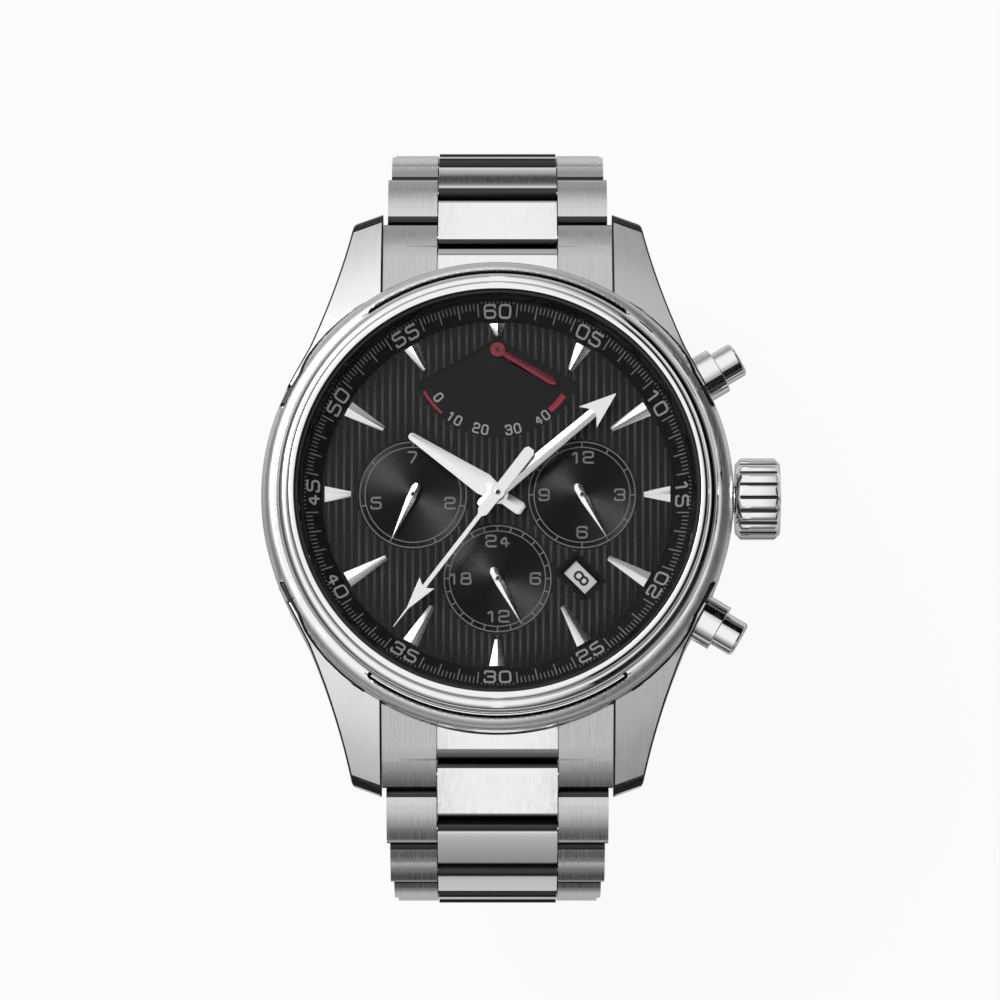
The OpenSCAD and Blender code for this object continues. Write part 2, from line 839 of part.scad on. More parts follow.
module train_bridge() {
    color(steel) {
        translate([0, 0, bridge_z])
            linear_extrude(height = plate_z - bridge_z)
                difference() {
                    circle(r = bridge_r);
                    translate([-bridge_r, bridge_split - bridge_seam])
                        square(2 * bridge_r);
                    translate([0, -balance_offset])
                        circle(r = balance_well);
                    translate([0, -balance_offset - cock_arm_half - bridge_seam])
                        square([cock_x, 2 * (cock_arm_half + bridge_seam)]);
                    translate([cock_x - bridge_seam, cock_y + bridge_seam - bridge_r])
                        square(bridge_r);
                    translate([stem_slot_x - 1, -stem_slot_half - 0.2])
                        square([5, 5]);
                }
        translate([0, 0, rotor_post_z])
            cylinder(r = rotor_post_r, h = bridge_z - rotor_post_z + eps, $fn = 48);
        translate([0, 0, rotor_post_z])
            cylinder(r = rotor_head_r, h = rotor_head_t, $fn = 48);
    }
}

module balance_cock() {
    color(steel)
        difference() {
            union() {
                translate([0, 0, bridge_z])
                    linear_extrude(height = plate_z - bridge_z)
                        intersection() {
                            circle(r = bridge_r);
                            translate([cock_x, cock_y - bridge_r])
                                square(bridge_r);
                        }
                translate([0, -balance_offset, bridge_z]) {
                    cylinder(r = cock_arm_half, h = cock_arm_t, $fn = 48);
                    translate([0, -cock_arm_half, 0])
                        cube([cock_x + cock_bury, 2 * cock_arm_half, cock_arm_t]);
                }
            }
            translate([0, -balance_offset, bridge_z + 0.2])
                cylinder(r = staff_r + run_gap, h = 1, $fn = 24);
        }
}

module balance_wheel() {
    rim_w = 0.55;
    rim_t = 0.4;
    arm_w = 0.4;
    boss_r = 0.6;
    low_pivot_z = bridge_z + 0.25;
    high_pivot_z = plate_z + 0.3;
    color(brass)
        translate([0, -balance_offset, 0]) {
            ring(balance_r - rim_w, balance_r, balance_z, rim_t);
            for (i = [0:2])
                rotate([0, 0, 120 * i + 90])
                    translate([0, -arm_w / 2, balance_z])
                        cube([balance_r - rim_w / 2, arm_w, rim_t]);
            translate([0, 0, balance_z])
                cylinder(r = boss_r, h = rim_t, $fn = 32);
            translate([0, 0, low_pivot_z])
                cylinder(r = staff_r, h = high_pivot_z - low_pivot_z, $fn = 24);
        }
}

rotor_post_r = 0.8;
rotor_post_z = 1.9;
rotor_head_r = 1.3;
rotor_head_t = 0.22;
rotor_z = 2.5;
rotor_t = 0.4;
rotor_rim_w = 2.1;
rotor_rim_z = 1.75;
rotor_cut = 0.6;
rotor_hole_at = 6.3;
rotor_hole_r = 1.9;

module rotor() {
    hub_r = 2.3;
    hub_z = rotor_post_z + rotor_head_t + 0.05;
    color(steel)
        difference() {
            union() {
                intersection() {
                    union() {
                        translate([0, 0, rotor_z])
                            cylinder(r = rotor_r, h = rotor_t);
                        ring(rotor_r - rotor_rim_w, rotor_r, rotor_rim_z,
                            rotor_z + rotor_t - rotor_rim_z);
                    }
                    translate([-rotor_r, rotor_cut, 0])
                        cube([2 * rotor_r, rotor_r, bridge_z]);
                }
                translate([0, 0, hub_z])
                    cylinder(r = hub_r, h = bridge_z - 0.2 - hub_z, $fn = 64);
            }
            translate([0, 0, -eps])
                cylinder(r = rotor_post_r + run_gap, h = plate_z, $fn = 48);
            for (a = [45, 90, 135])
                rotate([0, 0, a])
                    translate([rotor_hole_at, 0, 0])
                        cylinder(r = rotor_hole_r, h = plate_z, $fn = 64);
        }
}

// Crown, stem and pushers.
crown_x = case_r + 0.2;
crown_r = crown_d / 2;
tube_r = 1.1;
flange_r = 1.9;
neck_r = 1.35;
neck_end = crown_x + 1.5;
spigot_r = 1.2;
wall_in = bore_r + 0.4;
collar_end = 22.9;
collar_floor = flat_r + 0.35;
square_half = 0.32;
square_grip = 1.1;
stem_gap = 0.2;
stem_bury = 0.5;
pinion_x = 12.2;
pinion_len = 2;

module crown_tube() {
    color(steel)
        translate([0, 0, stem_z])
            difference() {
                union() {
                    bar_x(tube_r, wall_in, flat_r + eps);
                    bar_x(flange_r, flat_r, flat_r + 0.4);
                    bar_x(neck_r, flat_r, neck_end);
                }
                bar_x(stem_r + run_gap, wall_in - 1, neck_end + 1);
            }
}

module winding_pinion() {
    color(steel)
        translate([pinion_x, 0, stem_z])
            rotate([0, 90, 0])
                linear_extrude(height = pinion_len)
                    difference() {
                        gear_outline(10, 0.16);
                        square(2 * (square_half + run_gap), center = true);
                    }
}

module crown() {
    bevel = 0.5;
    crown_dome = 0.1;
    lobe_r = 0.75;
    first_lobe = 15;
    socket_r = neck_r + 0.25;
    socket_depth = 2.1;
    color(steel)
        translate([0, 0, stem_z]) {
            translate([crown_x, 0, 0])
                rotate([0, 90, 0])
                    intersection() {
                        rotate_extrude()
                            polygon([[socket_r, 0], [crown_r - bevel, 0], [crown_r, bevel],
                                [crown_r, crown_len - crown_dome - bevel],
                                [crown_r - bevel, crown_len - crown_dome], [0, crown_len],
                                [0, socket_depth], [socket_r, socket_depth]]);
                        union() {
                            cylinder(r = crown_r - lobe_r, h = crown_len + 1);
                            for (i = [0:lobes - 1])
                                rotate([0, 0, 360 / lobes * i + first_lobe])
                                    translate([crown_r - lobe_r, 0, -eps])
                                        cylinder(r = lobe_r, h = crown_len + 1, $fn = 32);
                        }
                    }
            bar_x(stem_r, pinion_x + pinion_len + stem_gap, crown_x + socket_depth + stem_bury);
            translate([pinion_x + pinion_len - crown_pull - square_grip, 0, 0])
                rotate([0, 90, 0])
                    linear_extrude(height = crown_pull + square_grip + stem_gap + stem_bury)
                        square(2 * square_half, center = true);
        }
}

module pusher_collars() {
    color(steel)
        for (a = [-pusher_angle, pusher_angle])
            on_pusher(a)
                difference() {
                    union() {
                        bar_x(spigot_r, wall_in, flat_r + eps);
                        bar_x(collar_d / 2, flat_r, collar_end);
                    }
                    bar_x(stem_r + run_gap, wall_in - 1, collar_end);
                    bar_x(cap_d / 2 + run_gap, collar_floor, collar_end + 1);
                }
}

module pusher(a) {
    chamfer = 0.2;
    cap_in = collar_floor + pusher_travel + 0.1;
    color(steel)
        on_pusher(a) {
            bar_x(cap_d / 2, cap_in, cap_reach - chamfer);
            translate([cap_reach - chamfer, 0, 0])
                rotate([0, 90, 0])
                    cylinder(r1 = cap_d / 2, r2 = cap_d / 2 - chamfer, h = chamfer);
            bar_x(stem_r, wall_in + pusher_travel, cap_in + eps);
        }
}
module upper_pusher() {
    pusher(pusher_angle);
}
module lower_pusher() {
    pusher(-pusher_angle);
}

// Bracelet. Profiles run along X from a row's first hinge, thickness along Y.
module lower_round(right) {
    intersection() {
        circle(r = half_t);
        translate([right ? 0 : -half_t, -half_t])
            square(half_t);
    }
}

module centre_profile(tail, reach) {
    polygon([[-tail, 0], [-tail, half_t], [reach, half_t], [reach, -half_t], [0, -half_t],
        [0, 0]]);
    intersection() {
        lower_round(false);
        translate([-tail, -half_t])
            square([tail, half_t]);
    }
}

module side_profile(start) {
    polygon([[start, -half_t], [start, half_t], [pitch + quarter, half_t],
        [pitch + quarter, 0], [pitch, 0], [pitch, -half_t]]);
    translate([pitch, 0])
        lower_round(true);
}

module both_sides(half, start) {
    inner = centre_w / 2 + side_gap;
    for (mx = [0, 1])
        mirror([mx, 0, 0])
            translate([(half + inner) / 2, 0, 0])
                across(half - inner)
                    side_profile(start);
}

module cross_pin(u, half, gap = 0) {
    translate([0, u, 0])
        bar_x(hinge_r + gap, -half, half);
}

// One row: two side pieces and a centre piece held by its pins.
module row_shape(k, pinned) {
    half = row_half(k);
    difference() {
        union() {
            across(centre_w)
                centre_profile(quarter, 3 * quarter - link_gap);
            both_sides(half, quarter + link_gap);
            cross_pin(pitch / 2, half - pin_inset);
        }
        cross_pin(0, centre_w, run_gap);
        if (!pinned)
            cross_pin(pitch, centre_w / 2 + 1);
    }
    if (pinned)
        cross_pin(pitch, half - pin_inset);
}

module on_row(k) {
    p = hinge_point(k - 1);
    translate([0, p[0], p[1]])
        rotate([-row_slope[k - 1], 0, 0])
            children();
}

module upper_row(k) {
    color(steel)
        on_row(k)
            row_shape(k, k < rows);
}
module lower_row(k) {
    color(steel)
        mirror([0, 1, 0])
            on_row(k)
                row_shape(k, true);
}

module end_centre(w, start, h) {
    across(w)
        translate([start, -half_t])
            square([-start - quarter - link_gap, h]);
}

// End link: fills the space between the lugs and carries the first hinge pin.
// A groove on either side sets its centre off from its sides.
module end_link() {
    half = row_half(0);
    start = -3 * pitch;
    difference() {
        union() {
            translate([0, first_y, first_z])
                rotate([-end_slope, 0, 0])
                    translate([0, -pitch, 0]) {
                        both_sides(half, start);
                        translate([0, pitch, 0]) {
                            end_centre(centre_w, start, link_t);
                            end_centre(centre_w + 4 * side_gap, start, link_t - groove_depth);
                        }
                        cross_pin(pitch, half - pin_inset);
                    }
        }
        translate([0, 0, -5])
            cylinder(r = case_r + seat_gap, h = 30);
        translate([0, bar_y, bar_z])
            bar_x(bar_d / 2 + run_gap, -case_r, case_r);
    }
}
module upper_end_link() {
    color(steel)
        end_link();
}
module lower_end_link() {
    color(steel)
        mirror([0, 1, 0])
            end_link();
}

module spring_bars() {
    color(steel)
        for (my = [0, 1])
            mirror([0, my, 0])
                translate([0, bar_y, bar_z]) {
                    bar_x(bar_d / 2, -row_half(0) + 0.2, row_half(0) - 0.2);
                    bar_x(lug_hole_r - run_gap, -lug_gap / 2 - bar_tip, lug_gap / 2 + bar_tip);
                }
}

// Clasp, drawn on arcs about an axis across the watch.
function clasp_point(r, a) = [r * sin(a), clasp_cz - r * cos(a)];

module clasp_arc(r_in, r_out, a0, a1) {
    far = 1.5 * r_out;
    translate([0, clasp_cz])
        intersection() {
            difference() {
                circle(r = r_out, $fn = 180);
                circle(r = r_in, $fn = 180);
            }
            polygon([[0, 0], far * [sin(a0), -cos(a0)], far * [sin(a1), -cos(a1)]]);
        }
}

module knuckle(r, hinge_r_at, hinge_a, x0, x1) {
    p = clasp_point(hinge_r_at, hinge_a);
    translate([0, p[0], p[1]])
        bar_x(r, x0, x1);
}

clasp_pin_r = 0.4;
fold_slot_a = 3;
inner_start_a = 1.2;
foot_len = 2.6;
foot_step = 0.9;
skin_end_a = clasp_half_a - 1.95;
knuckle_a = 1.25;
cover_in = cover_w / 2 - wall_t;
fold_half = 3;
button_a = 8;
button_r_at = clasp_r + 0.2;
tongue_tail = quarter - 0.3;
tongue_len = 3;
wall_drop = 1;
button_seat = 0.35;
button_gap = 0.1;
knuckle_gap = 0.1;
knuckle_proud = 0.15;
clasp_pin_inset = 0.3;

// Turns a shape on a row's axes to the clasp's end of the chain.
module at_chain_end() {
    translate([0, chain_end[0], chain_end[1]])
        rotate([clasp_half_a - 180, 0, 0])
            children();
}

module clasp_cover() {
    color(steel)
        difference() {
            union() {
                across(cover_w)
                    clasp_arc(skin_in, skin_out, cover_hinge_a + knuckle_a, skin_end_a);
                for (mx = [0, 1])
                    mirror([mx, 0, 0]) {
                        translate([cover_w / 2 - wall_t / 2, 0, 0])
                            across(wall_t)
                                clasp_arc(clasp_r - wall_drop, skin_out, cover_hinge_a, skin_end_a);
                        knuckle(knuckle_r + knuckle_proud, cover_hinge_r, cover_hinge_a, cover_in,
                            cover_w / 2);
                    }
                at_chain_end()
                    across(centre_w)
                        centre_profile(tongue_tail, tongue_len);
                knuckle(clasp_pin_r, cover_hinge_r, cover_hinge_a, -cover_in - eps,
                    cover_in + eps);
            }
            for (mx = [0, 1])
                mirror([mx, 0, 0])
                    knuckle(button_d / 2 + run_gap, button_r_at, button_a,
                        cover_in - button_seat, case_r);
        }
}

module clasp_button() {
    knuckle(button_d / 2, button_r_at, button_a, middle_w / 2 + button_gap + button_travel,
        cover_w / 2 + button_travel);
}
module clasp_button_crown_side() {
    color(steel)
        clasp_button();
}
module clasp_button_far_side() {
    color(steel)
        mirror([1, 0, 0])
            clasp_button();
}

module clasp_middle_blade() {
    color(steel)
        difference() {
            union() {
                across(middle_w)
                    clasp_arc(middle_out - blade_t, middle_out, cover_hinge_a, fold_hinge_a);
                knuckle(knuckle_r, cover_hinge_r, cover_hinge_a, -cover_in + knuckle_gap,
                    cover_in - knuckle_gap);
                knuckle(knuckle_r, fold_hinge_r, fold_hinge_a, -middle_w / 2, middle_w / 2);
            }
            across(2 * (fold_half + knuckle_gap))
                clasp_arc(inner_in, skin_out, fold_hinge_a - knuckle_a,
                    fold_hinge_a + fold_slot_a);
            knuckle(clasp_pin_r + run_gap, cover_hinge_r, cover_hinge_a, -case_r, case_r);
        }
    color(steel)
        knuckle(clasp_pin_r, fold_hinge_r, fold_hinge_a, -middle_w / 2 + clasp_pin_inset,
            middle_w / 2 - clasp_pin_inset);
}

module clasp_inner_blade() {
    color(steel)
        difference() {
            union() {
                across(inner_w)
                    clasp_arc(inner_in, inner_out, -clasp_half_a + inner_start_a,
                        fold_hinge_a - knuckle_a);
                across(2 * fold_half)
                    clasp_arc(inner_in, inner_out, 0, fold_hinge_a);
                knuckle(knuckle_r, fold_hinge_r, fold_hinge_a, -fold_half, fold_half);
                mirror([0, 1, 0])
                    at_chain_end()
                        across(centre_w) {
                            centre_profile(quarter, foot_len);
                            translate([foot_step, inner_in - clasp_r + link_gap / 2])
                                square([foot_len - foot_step, link_t]);
                        }
            }
            knuckle(clasp_pin_r + run_gap, fold_hinge_r, fold_hinge_a, -case_r, case_r);
            mirror([0, 1, 0])
                at_chain_end()
                    bar_x(hinge_r + run_gap, -centre_w, centre_w);
        }
}

case_middle();
bezel();
crystal();
crystal_gasket();
minute_ring();
dial();
hour_markers();
movement_ring();
main_plate();
barrel_bridge();
train_bridge();
balance_cock();
case_back();
back_crystal();
crown_tube();
pusher_collars();
spring_bars();
upper_end_link();
lower_end_link();
hour_hand();
minute_hand();
seconds_hand();
weekday_hand();
month_hand();
day_hand();
reserve_hand();
date_disc();
minute_wheel();
winding_pinion();
crown();
upper_pusher();
lower_pusher();
rotor();
balance_wheel();
upper_row(1);  // upper_row_1
upper_row(2);  // upper_row_2
upper_row(3);  // upper_row_3
upper_row(4);  // upper_row_4
upper_row(5);  // upper_row_5
upper_row(6);  // upper_row_6
upper_row(7);  // upper_row_7
upper_row(8);  // upper_row_8
lower_row(1);  // lower_row_1
lower_row(2);  // lower_row_2
lower_row(3);  // lower_row_3
lower_row(4);  // lower_row_4
lower_row(5);  // lower_row_5
lower_row(6);  // lower_row_6
lower_row(7);  // lower_row_7
lower_row(8);  // lower_row_8
clasp_inner_blade();
clasp_middle_blade();
clasp_cover();
clasp_button_crown_side();
clasp_button_far_side();
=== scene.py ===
"""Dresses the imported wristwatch: steel finishes, dial printing, movement details and the studio."""

import json
import math

import bmesh
import bpy
from bpy.props import FloatProperty, FloatVectorProperty, IntProperty, PointerProperty
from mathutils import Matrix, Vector
from mathutils.bvhtree import BVHTree


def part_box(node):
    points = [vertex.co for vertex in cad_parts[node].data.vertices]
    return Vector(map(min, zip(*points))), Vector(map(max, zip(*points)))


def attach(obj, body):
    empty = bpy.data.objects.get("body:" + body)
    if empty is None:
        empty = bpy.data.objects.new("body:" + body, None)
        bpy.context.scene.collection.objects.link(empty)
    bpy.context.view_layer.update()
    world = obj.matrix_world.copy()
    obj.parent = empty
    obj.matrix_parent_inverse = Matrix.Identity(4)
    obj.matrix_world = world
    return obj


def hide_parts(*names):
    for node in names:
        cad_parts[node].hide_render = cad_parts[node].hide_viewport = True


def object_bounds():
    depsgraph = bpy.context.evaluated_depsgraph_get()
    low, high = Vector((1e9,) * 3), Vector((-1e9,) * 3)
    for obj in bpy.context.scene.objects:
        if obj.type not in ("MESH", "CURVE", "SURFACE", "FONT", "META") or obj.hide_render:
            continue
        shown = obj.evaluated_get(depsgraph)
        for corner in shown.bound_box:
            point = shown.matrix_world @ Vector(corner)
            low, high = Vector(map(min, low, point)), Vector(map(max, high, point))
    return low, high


bl_info = {
    "name": "Wristwatch dressing",
    "version": (1, 0, 0),
    "blender": (4, 5, 0),
    "location": "View3D > Sidebar > Watch",
    "description": "Finishes, dial printing and studio for a steel multi-dial wristwatch",
    "category": "Object",
}

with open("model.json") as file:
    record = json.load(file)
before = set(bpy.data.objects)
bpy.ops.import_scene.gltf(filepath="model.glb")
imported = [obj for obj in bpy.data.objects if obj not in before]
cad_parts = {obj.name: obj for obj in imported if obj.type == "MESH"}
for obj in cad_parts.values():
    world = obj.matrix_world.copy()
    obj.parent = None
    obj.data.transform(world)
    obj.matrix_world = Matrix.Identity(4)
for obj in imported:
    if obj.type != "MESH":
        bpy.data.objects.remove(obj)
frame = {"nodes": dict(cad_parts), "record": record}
CAD_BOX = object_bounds()
MM = 0.001
MICRON = 0.001 * MM


def low_corner(node):
    """Lowest x, y and z of a node, in millimetres."""
    return Vector(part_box(node)[0]) / MM


def high_corner(node):
    """Highest x, y and z of a node, in millimetres."""
    return Vector(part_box(node)[1]) / MM


# Pivots of the joints in metres, and of the small hands in millimetres on the dial.
PIVOTS = {joint["name"]: Vector(joint["pos_m"])
          for joint in frame["record"]["behaviour"]["joints"] if "pos_m" in joint}
SUB_DIALS = {name: tuple(PIVOTS[name + "_turn"].xy / MM) for name in ("weekday", "month", "day")}
RESERVE_PIVOT = tuple(PIVOTS["reserve_swing"].xy / MM)

# Sizes and places that the solids fix, in millimetres.
SUB_RADIUS = 4.85
RESERVE_RADIUS = 7.8
# The reserve sector's top edge has its peak here and falls this much per millimetre to the sides.
RESERVE_APEX = 13.9
RESERVE_FALL = 4.8 / 8.5
DATE_RADIUS = 10.4
DATE_CLOCK = 135
DATE_SHOWN = 8
WINDOW = (3.3, 2.2)
DIAL_TOP = high_corner("dial").z
SUB_FLOOR = DIAL_TOP - 0.18
SECTOR_FLOOR = DIAL_TOP - 0.1
RING_INNER = 15.6
RING_OUTER = 17.25
RING_LOW = DIAL_TOP + 0.2
RING_TOP = high_corner("minute_ring").z
ROWS = [f"{side}_row_{k}" for side in ("upper", "lower") for k in range(1, 9)]
END_LINKS = ["upper_end_link", "lower_end_link"]
CENTRE_HALF = 5.4
END_SLOPE = math.radians(29)

# Print stands this far above its bed and reaches this far into it, in millimetres; a tick is a
# bar of this height, half sunk.
INK_RISE = 0.02
INK_ROOT = 0.01
TICK_HEIGHT = 0.05


def ring_height(radius):
    """Height of the sloping minute ring at a radius, in millimetres."""
    return RING_LOW + (RING_TOP - RING_LOW) * (radius - RING_INNER) / (RING_OUTER - RING_INNER)


def srgb(code):
    """Linear RGBA of an sRGB hex colour."""
    channels = [int(code[i:i + 2], 16) / 255 for i in (1, 3, 5)]
    return [c / 12.92 if c <= 0.04045 else ((c + 0.055) / 1.055) ** 2.4 for c in channels] + [1]


# Settings that a user may change.


def length(name, description, default):
    """Setting for a length, in metres."""
    return FloatProperty(name=name, description=description, default=default, unit="LENGTH")


def colour(name, description, code):
    """Setting for a colour, with an sRGB hex default."""
    return FloatVectorProperty(name=name, description=description, subtype="COLOR", size=3,
                               default=srgb(code)[:3])


class WatchDialSizes(bpy.types.PropertyGroup):
    """Sizes of the dial's printed and pressed details."""

    rib_pitch: length("Rib pitch", "Distance between the dial's ribs", 0.68 * MM)
    rib_width: length("Rib width", "Width of one rib", 0.3 * MM)
    rib_height: length("Rib height", "Height of one rib", 0.11 * MM)
    numeral_height: length(
        "Ring numeral height", "Height of the minute ring's numerals", 1.2 * MM)
    tick_width: length("Tick width", "Width of a minute tick", 0.1 * MM)
    minutes: IntProperty(
        name="Minutes", description="Long ticks around the minute ring", default=60)
    ticks_per_minute: IntProperty(
        name="Ticks per minute", description="Steps from one minute to the next", default=5)


class WatchFinishes(bpy.types.PropertyGroup):
    """Edge rounding and colours of the watch's finishes."""

    edge: length("Edge rounding", "Rounding of the case and bracelet edges", 0.16 * MM)
    fine_edge: length("Fine edge rounding", "Rounding of the small steel parts", 0.07 * MM)
    dome: length(
        "Centre dome", "How far a centre piece's face falls towards its ends", 0.06 * MM)
    side_dome: length(
        "Side dome", "How far a side piece's face falls towards its ends", 0.42 * MM)
    roll: length("Link roll", "Rounding of a link's ends", 0.42 * MM)
    steel: colour("Steel", "Colour of the polished steel", "#F0F0F1")
    lacquer: colour("Dial lacquer", "Colour of the dial", "#121213")


class WatchStudio(bpy.types.PropertyGroup):
    """Camera and lights."""

    distance: length("Camera distance", "From the dial to the lens", 0.52)
    elevation: FloatProperty(
        name="Camera elevation", description="Angle of the view above the dial's plane",
        default=math.radians(82), subtype="ANGLE")
    view_width: length("View width", "Width of the picture at the dial", 0.0885)
    dark_near: length(
        "Dark strip from", "Near edge of the strip behind the watch that steel mirrors as black",
        0.089)
    dark_far: length(
        "Dark strip to", "Far edge of the strip behind the watch that steel mirrors as black",
        0.103)
    far_side: FloatProperty(
        name="Far side", description="How bright steel sees the tent's two sides",
        default=0.3, min=0.0, max=1.0)
    sky: FloatProperty(
        name="Tent light", description="Strength of the even light on matt surfaces",
        default=0.35, min=0.0)


def dial_sizes():
    """The dial's settings."""
    return bpy.context.scene.watch_dial


def finishes():
    """Settings of the finishes."""
    return bpy.context.scene.watch_finish


def studio():
    """Settings of the studio."""
    return bpy.context.scene.watch_studio


# Mesh building.

# A node's loose triangles are merged within this distance, in metres, and its flat faces joined.
MERGE = 2 * MICRON
FLAT_ANGLE = math.radians(0.6)
# Corners sharper than this are edges; those left after the rounding stay sharp past the second.
EDGE_ANGLE = math.radians(32)
ROUNDED_ANGLE = math.radians(50)
# Place of the steel painted dark, as painted shade and reflection, among the metals of the case and
# the bracelet.
PAINTED_SHADE = 2


def new_object(name, mesh):
    """Links a mesh to the scene as a piece at the origin."""
    piece = bpy.data.objects.new(name, mesh)
    bpy.context.scene.collection.objects.link(piece)
    return piece


def shade_smooth(mesh, angle):
    """Smooth shading, broken at edges sharper than an angle."""
    mesh.polygons.foreach_set("use_smooth", [True] * len(mesh.polygons))
    mesh.set_sharp_from_angle(angle=angle)


def piece_from(name, bm, material, smooth_angle=None):
    """Turns a bmesh in millimetres into a piece in metres."""
    bmesh.ops.scale(bm, vec=(MM, MM, MM), verts=bm.verts)
    mesh = bpy.data.meshes.new(name)
    bm.to_mesh(mesh)
    bm.free()
    mesh.materials.append(material)
    if smooth_angle is not None:
        shade_smooth(mesh, math.radians(smooth_angle))
    return new_object(name, mesh)


def baked(piece):
    """Replaces a piece's mesh by what its modifiers make of it and removes them."""
    graph = bpy.context.evaluated_depsgraph_get()
    mesh = bpy.data.meshes.new_from_object(piece.evaluated_get(graph))
    piece.modifiers.clear()
    old = piece.data
    piece.data = mesh
    bpy.data.meshes.remove(old)


def body_of(node):
    """Name of the rigid body that a node belongs to."""
    for body, nodes in frame["record"]["behaviour"]["bodies"].items():
        if node in nodes:
            return body
    raise RuntimeError(f"no body holds the node {node}")


def stand_in(piece, node):
    """Shows a piece in place of a node, on the node's body."""
    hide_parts(node)
    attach(piece, body_of(node))


def dressed(node, edge, materials, pick=None, segments=3, shape=None, line=-1, clamp=True):
    """Copies a node, merges its triangles, rounds its edges and stands in for it.

    pick(place, normal) chooses a face's material, shape(bm) changes the copy before the rounding,
    and line is the material of the rounded edges."""
    mesh = frame["nodes"][node].data.copy()
    mesh.name = node + "_finished"
    bm = bmesh.new()
    bm.from_mesh(mesh)
    bmesh.ops.remove_doubles(bm, verts=bm.verts, dist=MERGE)
    bmesh.ops.dissolve_limit(bm, angle_limit=FLAT_ANGLE, verts=bm.verts, edges=bm.edges)
    if shape is not None:
        shape(bm)
    skin = BVHTree.FromBMesh(bm)
    bm.to_mesh(mesh)
    bm.free()
    mesh.materials.clear()
    for material in materials:
        mesh.materials.append(material)
    piece = new_object(node + "_finished", mesh)
    if pick is not None:
        for face in mesh.polygons:
            face.material_index = pick(face.center / MM, face.normal)
    bevel = piece.modifiers.new("edges", "BEVEL")
    bevel.width = edge
    bevel.segments = segments
    bevel.material = line
    bevel.limit_method = "ANGLE"
    bevel.angle_limit = EDGE_ANGLE
    bevel.use_clamp_overlap = clamp
    bevel.miter_outer = "MITER_ARC"
    normals = piece.modifiers.new("face normals", "WEIGHTED_NORMAL")
    normals.weight = 80
    normals.keep_sharp = True
    shade_smooth(mesh, ROUNDED_ANGLE)
    baked(piece)
    # Where short edges meet, the rounding can overshoot: such corners go back to the surface.
    for corner in piece.data.vertices:
        place, _, _, stray = skin.find_nearest(corner.co)
        if stray > 0.5 * edge + MICRON:
            corner.co = place
    stand_in(piece, node)


def link_axes(node):
    """Hinge place in metres, direction along the bracelet and outward direction of a link."""
    side = node.split("_")[0]
    sign = 1 if side == "upper" else -1
    if node in END_LINKS:
        start = PIVOTS[side + "_hinge_1"]
        along = Vector((0, sign * math.cos(END_SLOPE), -math.sin(END_SLOPE)))
    else:
        number = int(node.split("_")[-1])
        start = PIVOTS[f"{side}_hinge_{number}"]
        end = PIVOTS.get(f"{side}_hinge_{number + 1}")
        if end is None:
            # The last row ends at the clasp, or at the clasp's mirror image.
            end = PIVOTS["clasp_end_hinge"] * Vector((1, -sign, 1))
        along = (end - start).normalized()
    return start, along, Vector((sign, 0, 0)).cross(along)


# A link's outer face and side faces lie within these depths of its furthest point, in metres.
FACE_DEPTH = 0.05 * MM
SIDE_DEPTH = 0.03 * MM
# The end links' sides reach this much further, in metres, so that no light shows by the lugs.
END_REACH = 0.08 * MM
# Cuts that let a link's face bend: along the dome, and around each rolled end.
DOME_CUTS = 8
ROLL_CUTS = 6


def in_centre(corner):
    """Whether a link's corner belongs to its centre piece."""
    return abs(corner.co.x) < CENTRE_HALF * MM


def domed(node, sags, roll):
    """Reshaper that domes a link's centre and side faces and rolls their ends over, in metres."""
    start, along, out = link_axes(node)
    fixed_start = node in END_LINKS

    def cut_places(spans):
        """Places along the link where its face needs corners to bend."""
        rolls = [roll * (1 - math.sin(math.pi / 2 * k / ROLL_CUTS)) for k in range(1, ROLL_CUTS)]
        for low, high in spans.values():
            yield from (high - r for r in rolls)
            yield from (low + (high - low) * k / DOME_CUTS for k in range(1, DOME_CUTS))
            if not fixed_start:
                yield from (low + r for r in rolls)

    def fall(place, low, high, sag):
        """How far the face drops at a place along the link."""
        share = (2 * place - low - high) / (high - low)
        drop = sag * min(share * share, 1) if share > 0 or not fixed_start else 0
        for gap in (high - place, place - low)[:1 if fixed_start else 2]:
            if gap < roll:
                drop += roll - math.sqrt(max(roll * roll - (roll - max(gap, 0)) ** 2, 0))
        return drop

    def shape(bm):
        """Cuts the link across and lowers its face."""
        face = max((v.co - start).dot(out) for v in bm.verts)
        spans = {}
        for centre in (True, False):
            reach = [(v.co - start).dot(along) for v in bm.verts
                     if in_centre(v) == centre and (v.co - start).dot(out) > face - FACE_DEPTH]
            spans[centre] = (min(reach), max(reach))
        for cut in sorted(set(cut_places(spans))):
            bmesh.ops.bisect_plane(
                bm, geom=bm.verts[:] + bm.edges[:] + bm.faces[:], dist=0.1 * MICRON,
                plane_co=start + along * cut, plane_no=along)
        for v in bm.verts:
            # The lower half of the link stays as it is.
            share = min(max(2 * (v.co - start).dot(out) / face - 1, 0), 1)
            if share > 0:
                place, sag = (v.co - start).dot(along), sags[0 if in_centre(v) else 1]
                v.co -= out * fall(place, *spans[in_centre(v)], sag) * share
        if fixed_start:
            wide = max(v.co.x for v in bm.verts)
            for v in bm.verts:
                if abs(v.co.x) > wide - SIDE_DEPTH:
                    v.co.x += math.copysign(END_REACH, v.co.x)

    return shape


def around(centre, radius, angle):
    """Point at a radius and an angle in degrees, anticlockwise from three o'clock."""
    turn = math.radians(angle)
    return (centre[0] + radius * math.cos(turn), centre[1] + radius * math.sin(turn))


def arc_points(centre, radius, start, end, count):
    """Points on an arc, with angles in degrees."""
    return [around(centre, radius, start + (end - start) * i / count) for i in range(count + 1)]


